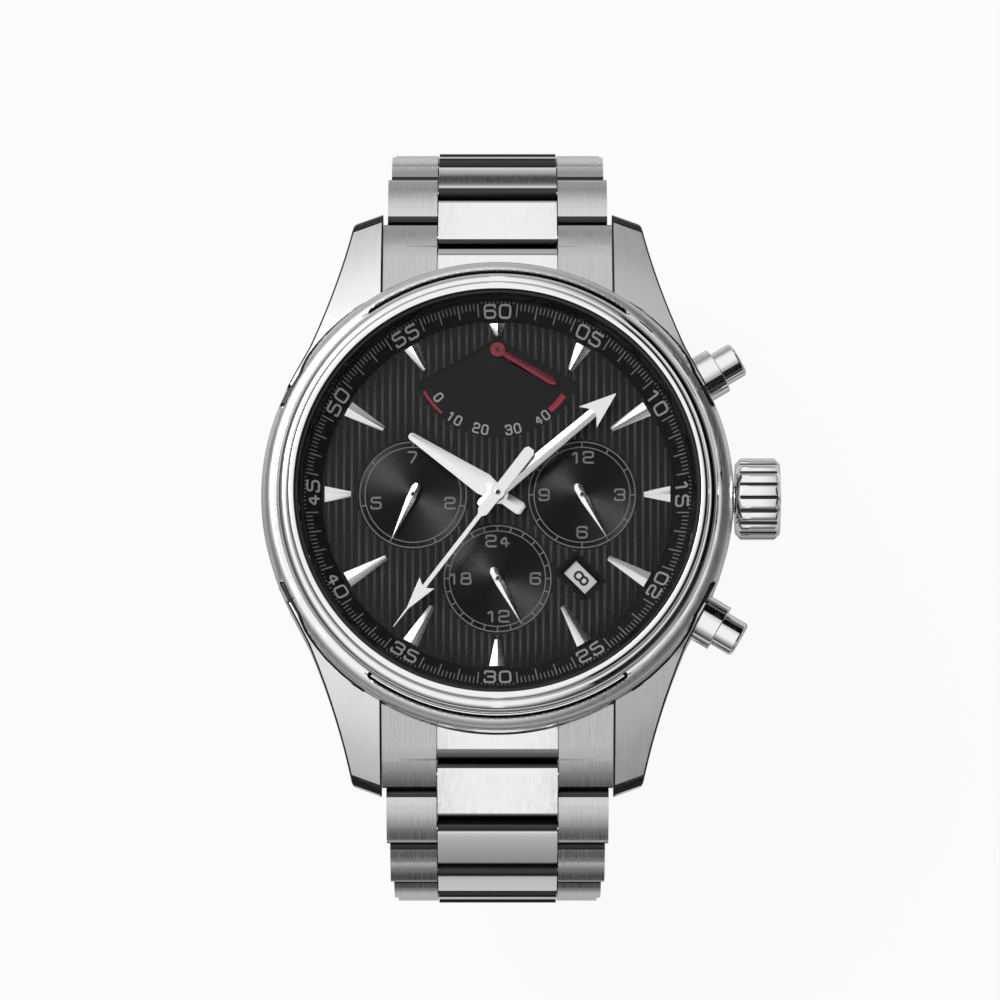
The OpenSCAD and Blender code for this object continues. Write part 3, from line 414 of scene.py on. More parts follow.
def bridge(bm, loops, closed=True):
    """Joins each loop of corners to the next one, and the last to the first if closed."""
    pairs = list(zip(loops, loops[1:] + loops[:1]))
    for low, high in pairs if closed else pairs[:-1]:
        for i in range(max(len(low), len(high))):
            corners = (low[i % len(low)], low[(i + 1) % len(low)],
                       high[(i + 1) % len(high)], high[i % len(high)])
            corners = list(dict.fromkeys(corners))
            if len(corners) > 2:
                bm.faces.new(corners)


def revolved(name, profile, material, steps=96, centre=(0, 0)):
    """Closed ring turned from a profile of (radius, height) points; radius 0 is a pole."""
    bm = bmesh.new()
    loops = [[bm.verts.new((*around(centre, radius, 360 * i / steps), height))
              for i in range(steps if radius else 1)] for radius, height in profile]
    bridge(bm, loops)
    bmesh.ops.recalc_face_normals(bm, faces=bm.faces)
    return piece_from(name, bm, material, smooth_angle=28)


def box_ring(name, inner, outer, low, high, material, steps=96, centre=(0, 0)):
    """Flat ring of square section, or a disc where the inner radius is 0."""
    return revolved(name, [(inner, low), (outer, low), (outer, high), (inner, high)],
                    material, steps, centre)


# Materials. Each is named for the real material and how its surface was made.


def add(tree, kind, inputs=None, **settings):
    """Adds a node with its settings. An input takes a value, a socket or a node's first output."""
    node = tree.nodes.new(kind)
    for key, value in settings.items():
        setattr(node, key, value)
    for key, value in (inputs or {}).items():
        if isinstance(value, bpy.types.Node):
            value = value.outputs[0]
        if isinstance(value, bpy.types.NodeSocket):
            tree.links.new(value, node.inputs[key])
        else:
            node.inputs[key].default_value = value
    return node


def surface(name, base):
    """New material with a Principled shader. Returns material, tree and shader."""
    material = bpy.data.materials.new(name)
    material.use_nodes = True
    tree = material.node_tree
    shader = tree.nodes["Principled BSDF"]
    for key, value in base.items():
        shader.inputs[key].default_value = value
    return material, tree, shader


def grained(name, base, size, depth, gloss=None, detail=2.0):
    """Material with fine relief from noise.

    size is the grain's spacing in millimetres, alike all round or along X, Y and Z, depth its
    height in microns, and gloss the range of roughness that goes with it."""
    material, tree, shader = surface(name, base)
    place = add(tree, "ShaderNodeTexCoord")
    stretch = add(tree, "ShaderNodeMapping", {
        "Vector": place.outputs["Object"],
        "Scale": [1 / (s * MM) for s in (size if isinstance(size, tuple) else [size] * 3)]})
    noise = add(tree, "ShaderNodeTexNoise", {"Vector": stretch, "Scale": 1.0, "Detail": detail})
    bump = add(tree, "ShaderNodeBump", {
        "Height": noise, "Distance": depth * MICRON, "Strength": 1.0})
    tree.links.new(bump.outputs["Normal"], shader.inputs["Normal"])
    if gloss:
        spread = add(tree, "ShaderNodeMapRange", {
            "Value": noise, "From Min": 0.3, "From Max": 0.7, "To Min": gloss[0],
            "To Max": gloss[1]})
        tree.links.new(spread.outputs["Result"], shader.inputs["Roughness"])
    return material


def turning_marks(tree, shader, centre, pitch, depth):
    """Concentric marks about a point of the dial, pitch in millimetres and depth in microns.

    Returns the node that gives each point's arm from the centre."""
    place = add(tree, "ShaderNodeTexCoord")
    arm = add(tree, "ShaderNodeVectorMath", {
        0: place.outputs["Object"], 1: (centre[0] * MM, centre[1] * MM, 0)}, operation="SUBTRACT")
    flat = add(tree, "ShaderNodeVectorMath", {0: arm, 1: (1, 1, 0)}, operation="MULTIPLY")
    reach = add(tree, "ShaderNodeVectorMath", {0: flat}, operation="LENGTH")
    turns = add(tree, "ShaderNodeMath", {
        0: reach.outputs["Value"], 1: math.tau / (pitch * MM)}, operation="MULTIPLY")
    wave = add(tree, "ShaderNodeMath", {0: turns}, operation="SINE")
    bump = add(tree, "ShaderNodeBump", {
        "Height": wave, "Distance": depth * MICRON, "Strength": 1.0})
    tree.links.new(bump.outputs["Normal"], shader.inputs["Normal"])
    return arm


def metal(code, **more):
    """Shader values of a bare metal of one colour."""
    return {"Metallic": 1.0, "Base Color": srgb(code), **more}


def polished_steel():
    """316L steel, buffed on a felt wheel: a mirror with faint hairlines from wear."""
    steel = {"Metallic": 1.0, "Base Color": list(finishes().steel) + [1]}
    # Hairlines about 0.25 mm apart, too faint to see one by one.
    return grained("Buffed 316L steel", steel, (0.25, 1.1, 1.1), 0.4, (0.05, 0.1))


def satin_steel():
    """316L steel, fine satin on the lugs' tops: soft gradients in place of sharp images."""
    # Satin lines run along the lugs.
    return grained("Satin 316L steel", metal("#F2F2F3"), (0.125, 3.3, 3.3), 1.2, (0.3, 0.42))


def brushed_steel():
    """316L steel, brushed along the bracelet: long streaks that spread the light sideways."""
    # Belt lines are 0.03 mm apart; drawn at 0.1 mm so that they show in the picture.
    return grained("Brushed 316L steel", metal("#D6D6D7"), (0.1, 4.55, 4.55), 1.8, (0.16, 0.3), 3.0)


def joint_steel():
    """316L steel painted dark: painted shade in grooves and seams, painted reflection on rolled ends
    and rounded edges.
    """
    # Tumbling marks.
    return grained("Oxide-dulled 316L steel", metal("#3C3C3D"), 0.2, 0.8, (0.3, 0.42))


def turned_steel():
    """Steel faced on a lathe: rings about the centre."""
    material, tree, shader = surface("Turned steel", metal("#BDBDBF", Roughness=0.3))
    turning_marks(tree, shader, (0, 0), 0.16, 3)
    return material


def rhodium():
    """Rhodium-plated brass, diamond-cut: bright white facets."""
    # The cutter's marks are finer than this, and show only as a slight softness.
    return grained("Rhodium-plated brass", metal("#EFEFF0"), 0.11, 0.08, (0.24, 0.3))


def dial_lacquer():
    """Black dial lacquer over pressed brass: deep satin black."""
    lacquer = {"Base Color": list(finishes().lacquer) + [1], "Specular IOR Level": 0.2}
    # Orange peel of the sprayed lacquer.
    return grained("Black dial lacquer", lacquer, 0.2, 0.6, (0.38, 0.5))


def rib_lacquer():
    """The ribs, a shade lighter than the lacquer between them: painted highlight on their crests."""
    lacquer = {"Base Color": srgb("#454547"), "Specular IOR Level": 0.3}
    # Grain marks run along the ribs.
    return grained("Rubbed black lacquer", lacquer, (0.33, 3.8, 0.33), 0.8, (0.38, 0.52))


def sunray_black(name, centre):
    """Black galvanic sub-dial, turned in fine rings: light gathers in two opposite wedges."""
    material, tree, shader = surface("Turned black nickel " + name, metal(
        "#1E1E1E", Roughness=0.54, Anisotropic=0.85))
    # Snailing is about 0.05 mm; drawn at 0.13 mm so that it shows.
    arm = turning_marks(tree, shader, centre, 0.13, 3)
    along = add(tree, "ShaderNodeVectorMath", {0: arm}, operation="NORMALIZE")
    tree.links.new(along.outputs["Vector"], shader.inputs["Tangent"])
    return material


# Colour and least roughness of the dial's inks: silver for numerals, greys for sub-dials and
# ticks, black for dates and for dots painted as shade in the hands' bores, red for the ends of the
# power reserve.
INKS = {"silver": ("#ADADAD", 0.45), "grey": ("#848486", 0.45), "pale grey": ("#8C8C8E", 0.45),
        "black": ("#121212", 0.45), "red": ("#A31B33", 0.4)}


def ink(shade):
    """Pad-printed ink: matt, with a slight grain from the pad."""
    code, rough = INKS[shade]
    return grained(
        f"Pad-printed {shade} ink", {"Base Color": srgb(code)}, 0.11, 0.5, (rough, rough + 0.15))


def red_lacquer():
    """Gloss red lacquer over a rhodium hand: a pink light along the ridge."""
    lacquer = {"Base Color": srgb("#7E0F2A"), "Metallic": 0.5, "Coat Weight": 0.6,
               "Coat Roughness": 0.08}
    # Orange peel of the sprayed lacquer.
    return grained("Gloss red lacquer", lacquer, 0.2, 0.4, (0.2, 0.3))


def white_lacquer():
    """White date-disc lacquer: matt white."""
    # Grain of the matt spray.
    return grained("White date lacquer", {"Base Color": srgb("#EDEDEA")}, 0.17, 0.4, (0.4, 0.55))


def clear_crystal():
    """Flat mineral crystal with a clear coating: seen only by a faint gloss."""
    glass = {"Base Color": srgb("#0A0A0A"), "Alpha": 0.03, "IOR": 1.5}
    # Slow waves of the polished glass.
    return grained("Coated mineral crystal", glass, 3.3, 0.1, (0.01, 0.03))


def gasket_rubber():
    """Moulded nitrile gasket: dull black."""
    # Grain of the mould.
    return grained("Moulded nitrile rubber", {"Base Color": srgb("#141414")}, 0.25, 1, (0.6, 0.75))


def striped_nickel():
    """Nickel-plated brass bridges: bands of light from straight waves cut across them."""
    material, tree, shader = surface("Striped nickel-plated brass", metal(
        "#C9C6BE", Roughness=0.28))
    place = add(tree, "ShaderNodeTexCoord")
    # Waves are 1.4 mm wide, as the cutter leaves them; the texture makes 20 / tau to the unit.
    wave = add(tree, "ShaderNodeTexWave", {
        "Vector": place.outputs["Object"], "Scale": math.tau / 20 / (1.4 * MM),
        "Distortion": 0.0}, bands_direction="X", wave_profile="SAW")
    bump = add(tree, "ShaderNodeBump", {
        "Height": wave.outputs["Fac"], "Distance": 50 * MICRON, "Strength": 0.6})
    tree.links.new(bump.outputs["Normal"], shader.inputs["Normal"])
    return material


def gilt_brass():
    """Gilt brass wheels: warm yellow, finely brushed."""
    return grained("Gilt brass", metal("#D3AE62"), (0.17, 0.17, 1.7), 0.6, (0.2, 0.32))


def ruby():
    """Synthetic ruby bearing jewels: clear deep red."""
    jewel = {"Base Color": srgb("#B01240"), "Coat Weight": 1.0, "Coat Roughness": 0.03,
             "IOR": 1.76}
    # Faint waves of the polish.
    return grained("Synthetic ruby", jewel, 0.33, 0.1, (0.05, 0.12))


def blued_steel():
    """Heat-blued screws: dark blue mirror."""
    # Polishing marks.
    return grained("Heat-blued steel", metal("#2B3F8C"), 0.2, 0.3, (0.12, 0.2))


MATERIALS = {}


def finish(maker, *args):
    """One shared copy of each material."""
    key = (maker.__name__,) + args
    if key not in MATERIALS:
        MATERIALS[key] = maker(*args)
    return MATERIALS[key]


# Stroke numerals: centre lines in a unit box, as (closed, corner points).
STROKES = {
    "0": [(True, [(0, 0), (1, 0), (1, 1), (0, 1)])],
    "1": [(False, [(0.2, 0.76), (0.62, 1), (0.62, 0)])],
    "2": [(False, [(0, 0.76), (0, 1), (1, 1), (1, 0.5), (0, 0.5), (0, 0), (1, 0)])],
    "3": [(False, [(0, 0.78), (0, 1), (1, 1), (1, 0.52), (0.3, 0.52)]),
          (False, [(0.3, 0.52), (1, 0.52), (1, 0), (0, 0), (0, 0.22)])],
    "4": [(False, [(0.74, 0), (0.74, 1), (0, 0.27), (1, 0.27)])],
    "5": [(False, [(0.95, 1), (0.03, 1), (0, 0.57), (1, 0.57), (1, 0), (0, 0), (0, 0.2)])],
    "6": [(False, [(0.98, 0.8), (0.98, 1), (0, 1), (0, 0), (1, 0), (1, 0.56), (0, 0.56)])],
    "7": [(False, [(0, 1), (1, 1), (0.32, 0)])],
    "8": [(True, [(0, 0), (1, 0), (1, 0.53), (0, 0.53)]),
          (True, [(0.06, 0.53), (0.94, 0.53), (0.94, 1), (0.06, 1)])],
    "9": [(False, [(0.02, 0.2), (0.02, 0), (1, 0), (1, 1), (0, 1), (0, 0.44), (1, 0.44)])],
}


def filleted(points, radius, closed, steps=4):
    """Rounds the corners of a line, as far as its segments allow."""
    points = [Vector(p) for p in points]
    line = []
    for i, corner in enumerate(points):
        if not closed and i in (0, len(points) - 1):
            line.append(corner)
            continue
        before, after = points[i - 1] - corner, points[(i + 1) % len(points)] - corner
        half_turn = before.angle(after) / 2
        # Just under half of each segment, so that two roundings never meet.
        room = min(before.length, after.length) / 2.02
        cut = min(radius / math.tan(half_turn), room)
        start, end = corner + before.normalized() * cut, corner + after.normalized() * cut
        for k in range(steps + 1):
            t = k / steps
            line.append(start * (1 - t) ** 2 + corner * 2 * t * (1 - t) + end * t * t)
    return line


def stroke_line(bm, line, closed, width, place, low, high):
    """Adds a closed ribbon along a line. place(u, v, h) gives its points in millimetres."""
    last = len(line) - 1
    sections = []
    for i, point in enumerate(line):
        ahead = line[(i + 1) % len(line)] if closed or i < last else point
        behind = line[i - 1] if closed or i > 0 else point
        along = (ahead - behind).normalized()
        side = Vector((-along.y, along.x)) * width / 2
        if not closed and i in (0, last):
            # Open ends reach a little further, as a pen's would.
            point = point + along * width * (0.35 if i else -0.35)
        left, right = point + side, point - side
        sections.append([bm.verts.new(place(c.x, c.y, h)) for c, h in (
            (left, low), (right, low), (right, high), (left, high))])
    bridge(bm, sections, closed)
    if not closed:
        bm.faces.new(sections[0][::-1])
        bm.faces.new(sections[-1])


def write(bm, text, height, stroke, place, wide, space, low=-INK_ROOT, high=INK_RISE):
    """Draws digits about the origin of (u, v), `wide` heights wide and `space` heights apart."""
    advance = height * (wide + space)
    span, rise = height * wide - stroke, height - stroke
    corner = 0.24 * height
    for i, sign in enumerate(text):
        at = (i - (len(text) - 1) / 2) * advance
        for k, (closed, points) in enumerate(STROKES[sign]):
            line = filleted([(u * span, v * rise) for u, v in points], corner, closed)
            line = [Vector((p.x - span / 2 + at, p.y - rise / 2)) for p in line]
            # A second stroke lies a little lower, so that no two faces share a plane.
            stroke_line(bm, line, closed, stroke, place, low, high - 0.004 * k)


def flat_place(centre, base):
    """Placer on a level face."""
    return lambda u, v, h: (centre[0] + u, centre[1] + v, base + h)


def arc_place(centre, radius, clock, bed, inward=False):
    """Placer along an arc, at a clock angle in degrees; inward text reads from the centre.

    bed(radius) is the height that the text lies on."""
    flip = -1 if inward else 1

    def place(u, v, h):
        reach = radius + flip * v
        turn = math.radians(90 - clock) - flip * u / radius
        return (centre[0] + reach * math.cos(turn), centre[1] + reach * math.sin(turn),
                bed(reach) + h)

    return place


def printed(name, bm, material, body="case"):
    """Finishes drawn strokes as one piece of print on a body."""
    bmesh.ops.recalc_face_normals(bm, faces=bm.faces)
    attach(piece_from(name, bm, material), body)


# Geometry Nodes for what repeats.


def node_tree(name, inputs):
    """New Geometry Nodes tree with named inputs. Returns the tree, its input sockets and ids."""
    tree = bpy.data.node_groups.new(name, "GeometryNodeTree")
    tree.interface.new_socket("Geometry", in_out="INPUT", socket_type="NodeSocketGeometry")
    ids = {}
    for label, kind in inputs.items():
        socket = tree.interface.new_socket(label, in_out="INPUT", socket_type="NodeSocket" + kind)
        ids[label] = socket.identifier
    tree.interface.new_socket("Geometry", in_out="OUTPUT", socket_type="NodeSocketGeometry")
    return tree, tree.nodes.new("NodeGroupInput").outputs, ids


def closed_tree(tree, use, instance, placing, smooth=False):
    """Sets the instance on the seed's points, realises, shades and paints it, and ends the tree."""
    points = add(tree, "GeometryNodeMeshToPoints", {"Mesh": use["Geometry"]})
    placed = add(tree, "GeometryNodeInstanceOnPoints", {
        "Points": points, "Instance": instance, **placing})
    real = add(tree, "GeometryNodeRealizeInstances", {"Geometry": placed})
    shaded = add(tree, "GeometryNodeSetShadeSmooth", {"Geometry": real, "Shade Smooth": smooth})
    painted = add(tree, "GeometryNodeSetMaterial", {
        "Geometry": shaded, "Material": use["Material"]})
    add(tree, "NodeGroupOutput", {"Geometry": painted})


def tick_tree():
    """Bars at the seed's points, each turned as its point says, with one tilt for all."""
    tree, use, ids = node_tree("tick ring", {
        "Length": "Float", "Width": "Float", "Height": "Float", "Tilt": "Float",
        "Material": "Material"})
    size = add(tree, "ShaderNodeCombineXYZ", {
        "X": use["Length"], "Y": use["Width"], "Z": use["Height"]})
    bar = add(tree, "GeometryNodeMeshCube", {"Size": size})
    twist = add(tree, "GeometryNodeInputNamedAttribute", {"Name": "turn"}, data_type="FLOAT")
    turn = add(tree, "ShaderNodeCombineXYZ", {"Y": use["Tilt"], "Z": twist})
    closed_tree(tree, use, bar, {"Rotation": turn})
    return tree, ids


def rib_tree():
    """Half-sunk rods along Y at the seed's points, each as long as its point says."""
    tree, use, ids = node_tree("dial ribs", {
        "Half width": "Float", "Height": "Float", "Sides": "Int", "Material": "Material"})
    rod = add(tree, "GeometryNodeMeshCylinder", {
        "Vertices": use["Sides"], "Radius": 1.0, "Depth": 1.0})
    laid = add(tree, "GeometryNodeTransform", {"Geometry": rod, "Rotation": (math.pi / 2, 0, 0)})
    length = add(tree, "GeometryNodeInputNamedAttribute", {"Name": "length"}, data_type="FLOAT")
    size = add(tree, "ShaderNodeCombineXYZ", {
        "X": use["Half width"], "Y": length, "Z": use["Height"]})
    closed_tree(tree, use, laid, {"Scale": size}, smooth=True)
    return tree, ids


def stud_tree(name, slotted):
    """Screw heads with a slot, or jewels with a hole, hanging from the seed's points."""
    tree, use, ids = node_tree(name, {
        "Radius": "Float", "Rim radius": "Float", "Height": "Float", "Drop": "Vector",
        "Slot": "Vector", "Cut drop": "Vector", "Bore": "Float", "Material": "Material"})
    head = add(tree, "GeometryNodeMeshCone", {
        "Vertices": 24, "Radius Top": use["Radius"], "Radius Bottom": use["Rim radius"],
        "Depth": use["Height"]})
    hung = add(tree, "GeometryNodeTransform", {"Geometry": head, "Translation": use["Drop"]})
    if slotted:
        cut = add(tree, "GeometryNodeMeshCube", {"Size": use["Slot"]})
    else:
        cut = add(tree, "GeometryNodeMeshCylinder", {
            "Vertices": 16, "Radius": use["Bore"], "Depth": use["Height"]})
    tool = add(tree, "GeometryNodeTransform", {"Geometry": cut, "Translation": use["Cut drop"]})
    stud = add(tree, "GeometryNodeMeshBoolean", {"Mesh 1": hung, "Mesh 2": tool},
               operation="DIFFERENCE")
    twist = add(tree, "GeometryNodeInputNamedAttribute", {"Name": "turn"}, data_type="FLOAT")
    turn = add(tree, "ShaderNodeCombineXYZ", {"Z": twist})
    closed_tree(tree, use, stud, {"Rotation": turn})
    return tree, ids


TREES = {}


def grown(name, maker, values, seeds, attribute, args=()):
    """Piece on the case grown by a tree from seed points (in millimetres), as a plain mesh.

    attribute is the name and the list of the numbers that the points carry."""
    key = (maker.__name__,) + args
    if key not in TREES:
        TREES[key] = maker(*args)
    tree, ids = TREES[key]
    mesh = bpy.data.meshes.new(name)
    mesh.from_pydata([Vector(p) * MM for p in seeds], [], [])
    own_name, numbers = attribute
    mesh.attributes.new(own_name, "FLOAT", "POINT").data.foreach_set("value", numbers)
    piece = new_object(name, mesh)
    modifier = piece.modifiers.new(name, "NODES")
    modifier.node_group = tree
    for label, value in values.items():
        modifier[ids[label]] = value
    baked(piece)
    if not piece.data.polygons:
        raise RuntimeError(f"nothing grew for {name}")
    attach(piece, "case")


def level(height):
    """Bed of one height, for print and ticks."""
    return lambda radius: height


def ticks(name, clocks, inner, outer, width, bed, material, centre=(0, 0)):
    """Ring of bars at clock angles in degrees. bed(radius) is the height they lie on."""
    middle, rise = (inner + outer) / 2, bed(outer) - bed(inner)
    seeds = [(*around(centre, middle, 90 - clock), bed(middle)) for clock in clocks]
    grown(name, tick_tree, {
        "Length": math.hypot(outer - inner, rise) * MM, "Width": width * MM,
        "Height": TICK_HEIGHT * MM, "Tilt": -math.atan2(rise, outer - inner),
        "Material": material}, seeds, ("turn", [math.radians(90 - clock) for clock in clocks]))


def coated(node, material):
    """Gives a node that keeps its own mesh a finished material."""
    slots = frame["nodes"][node].material_slots
    if not slots:
        frame["nodes"][node].data.materials.append(material)
    for slot in slots:
        slot.material = material


# The groove under the bezel lies between these radii and heights and is painted dark, as painted
# shade, this share of the way across from 12 and 6 o'clock; the lugs' ends roll over past this Y and
# are painted dark there as painted reflection. In millimetres.
GROOVE_RADII = (19.3, 19.96)
GROOVE_HEIGHTS = (9.0, 9.58)
GROOVE_ACROSS = 0.6
LUG_ROLL = 22.5


class WATCH_OT_case(bpy.types.Operator):
    """Case middle, case back, crown tube and pusher collars in their steel finishes"""

    bl_idname = "watch.case"
    bl_label = "Case"

    def execute(self, context):
        polished, fine = finish(polished_steel), finishes().fine_edge
        # Its rounded edges take the dark steel too: painted reflection along the edges.
        dressed("case_middle", finishes().edge,
                [polished, finish(satin_steel), finish(joint_steel)], self.pick, line=PAINTED_SHADE,
                clamp=False)
        dressed("case_back", fine, [finish(turned_steel), polished],
                lambda at, normal: int(abs(normal.z) < 0.9))
        for node in ("crown_tube", "pusher_collars"):
            dressed(node, fine, [polished])
        coated("back_crystal", finish(clear_crystal))
        return {"FINISHED"}

    def pick(self, at, normal):
        """Polished flanks, satin tops; painted shade in the groove under the bezel, painted
        reflection on the lugs' roll.
        """
        reach = math.hypot(at.x, at.y)
        groove = (GROOVE_RADII[0] < reach < GROOVE_RADII[1]
                  and GROOVE_HEIGHTS[0] < at.z < GROOVE_HEIGHTS[1]
                  and abs(at.x) < GROOVE_ACROSS * reach)
        lug_roll = abs(at.y) > LUG_ROLL and 0.35 < normal.z < 0.79
        if groove or lug_roll:
            return PAINTED_SHADE
        return int(normal.z > 0.4 and reach > 19.9)


class WATCH_OT_bezel(bpy.types.Operator):
    """Bezel, crystal and gasket"""

    bl_idname = "watch.bezel"
    bl_label = "Bezel and crystal"

    def execute(self, context):
        self.ring()
        coated("crystal", finish(clear_crystal))
        coated("crystal_gasket", finish(gasket_rubber))
        return {"FINISHED"}

    def ring(self):
        """Two rounded tiers with a fine step between them; the ledge under the glass is painted
        black, as painted shade under the crystal's edge.
        """
        foot, peak = low_corner("bezel").z, high_corner("bezel").z
        outer, recess = high_corner("bezel").x, high_corner("dial").x + 0.1
        seat, ledge = 17.95, 17.3
        ledge_low, ledge_high = foot + 0.4, foot + 1.1
        waist, step_low, step_high = foot + 0.7, foot + 1.585, foot + 1.64
        low_round, high_round, seat_round, chamfer = 0.9, 0.45, 0.08, 0.03
        tier = outer - low_round
        profile = [(recess, foot), (outer - chamfer, foot), (outer, foot + chamfer)]
        profile += arc_points((tier, waist), low_round, 0, 84, 14)
        profile += [(tier + chamfer, step_low), (tier, step_high)]
        profile += arc_points((tier - high_round, peak - high_round), high_round, 0, 90, 12)
        profile += arc_points((seat + seat_round, peak - seat_round), seat_round, 90, 180, 4)
        profile += [(seat, ledge_high), (ledge, ledge_high), (ledge, ledge_low),
                    (recess, ledge_low)]
        piece = revolved("bezel_finished", profile, finish(polished_steel), 320)
        # Faces inside the seat take the black lacquer: painted shade under the crystal's edge.
        piece.data.materials.append(finish(dial_lacquer))
        for face in piece.data.polygons:
            reach = math.hypot(face.center.x, face.center.y) / MM
            face.material_index = int(reach < seat - 0.02)
        stand_in(piece, "bezel")


class WATCH_OT_controls(bpy.types.Operator):
    """Crown with its stem, winding pinion and pushers"""

    bl_idname = "watch.controls"
    bl_label = "Crown and pushers"

    def execute(self, context):
        polished, fine = finish(polished_steel), finishes().fine_edge
        axis = (low_corner("crown") + high_corner("crown")) / 2
        rim = high_corner("crown").y - axis.y
        groove_floor, groove_lip = rim - 0.3, rim - 0.11

        def flute(at, normal):
            """Painted shade: dark steel in the crown's grooves."""
            reach = math.hypot(at.y - axis.y, at.z - axis.z)
            return int(groove_floor < reach < groove_lip and abs(normal.x) < 0.3)

        dressed("crown", fine, [polished, finish(joint_steel)], flute)
        for node in ("upper_pusher", "lower_pusher"):
            dressed(node, fine, [polished])
        dressed("winding_pinion", 0.02 * MM, [finish(turned_steel)])
        return {"FINISHED"}


class WATCH_OT_bracelet(bpy.types.Operator):
    """Bracelet rows and end links: polished centres between brushed sides"""

    bl_idname = "watch.bracelet"
    bl_label = "Bracelet"

    def execute(self, context):
        look = finishes()
        metals = [finish(polished_steel), finish(brushed_steel), finish(joint_steel)]
        for node in ROWS + END_LINKS:
            # The end links fall further, because they lean away under the case.
            sags = (look.side_dome, 1.4 * look.side_dome) if node in END_LINKS else (
                look.dome, look.side_dome)
            # The rounded edges take the dark steel: painted shade along the seams and painted
            # reflection on the edges.
            dressed(node, look.edge, metals, self.picker(link_axes(node)[2]),
                    shape=domed(node, sags, look.roll), line=PAINTED_SHADE)
        coated("spring_bars", finish(turned_steel))
        return {"FINISHED"}

    def picker(self, out):
        """Chooser of a link's metals: painted reflection, dark, on the rolled ends, and painted shade
        in the seams beside the centre piece.
        """
        def pick(at, normal):
            rolled_end = abs(normal.x) < 0.5 and -0.2 < normal.dot(out) < 0.95
            seam = abs(normal.x) > 0.7 and abs(abs(at.x) - CENTRE_HALF) < 0.3
            if rolled_end or seam:
                return PAINTED_SHADE
            return int(abs(at.x) > CENTRE_HALF)

        return pick


class WATCH_OT_clasp(bpy.types.Operator):
    """Folding clasp: brushed cover and blades with polished buttons"""

    bl_idname = "watch.clasp"
    bl_label = "Clasp"

    def execute(self, context):
        polished, fine = finish(polished_steel), finishes().fine_edge
        for node in ("clasp_cover", "clasp_inner_blade", "clasp_middle_blade"):
            dressed(node, fine, [finish(brushed_steel), polished],
                    lambda at, normal: int(abs(normal.x) > 0.7))
        for node in ("clasp_button_crown_side", "clasp_button_far_side"):
            dressed(node, fine, [polished])
        return {"FINISHED"}


def without(spans, low, high):
    """Cuts a stretch out of a list of (start, end) spans."""
    left = []
    for start, end in spans:
        left += [(start, min(end, low)), (max(start, high), end)] if low < high else [(start, end)]
    return [(start, end) for start, end in left if start < end]


# Ribs end this far from a sunk place, the reserve's top edge and the date window, in millimetres;
# bits of rib shorter than the last are left out.
RIB_GAP = 0.1
APEX_GAP = 0.12
WINDOW_GAP = 0.3
RIB_LEAST = 0.15


def chord(radius, offset):
    """Half the length of a circle's chord at a distance from its centre, 0 outside it."""
    return math.sqrt(max(radius * radius - offset * offset, 0))


def rib_spans(x):
    """Stretches of one rib that lie on the dial outside its sunk places, in millimetres."""
    half = chord(RING_INNER - 0.05, x)
    spans = [(-half, half)]
    for cx, cy in SUB_DIALS.values():
        half = chord(SUB_RADIUS + RIB_GAP, x - cx)
        spans = without(spans, cy - half, cy + half)
    half = chord(RESERVE_RADIUS + RIB_GAP, x)
    if half:
        spans = without(spans, RESERVE_PIVOT[1] - half,
                        RESERVE_APEX + APEX_GAP - RESERVE_FALL * abs(x))
    # The date window's long side points at the centre, half way between 4 and 5.
    slant = math.sqrt(0.5)
    low, high = -RING_OUTER, RING_OUTER
    for (u, v), size in (((slant, -slant), WINDOW[0]), ((slant, slant), WINDOW[1])):
        middle = DATE_RADIUS * slant * (u - v)
        reach = size / 2 + WINDOW_GAP
        ends = sorted(((middle - reach - x * u) / v, (middle + reach - x * u) / v))
        low, high = max(low, ends[0]), min(high, ends[1])
    return [(a, b) for a, b in without(spans, low, high) if b - a > RIB_LEAST]


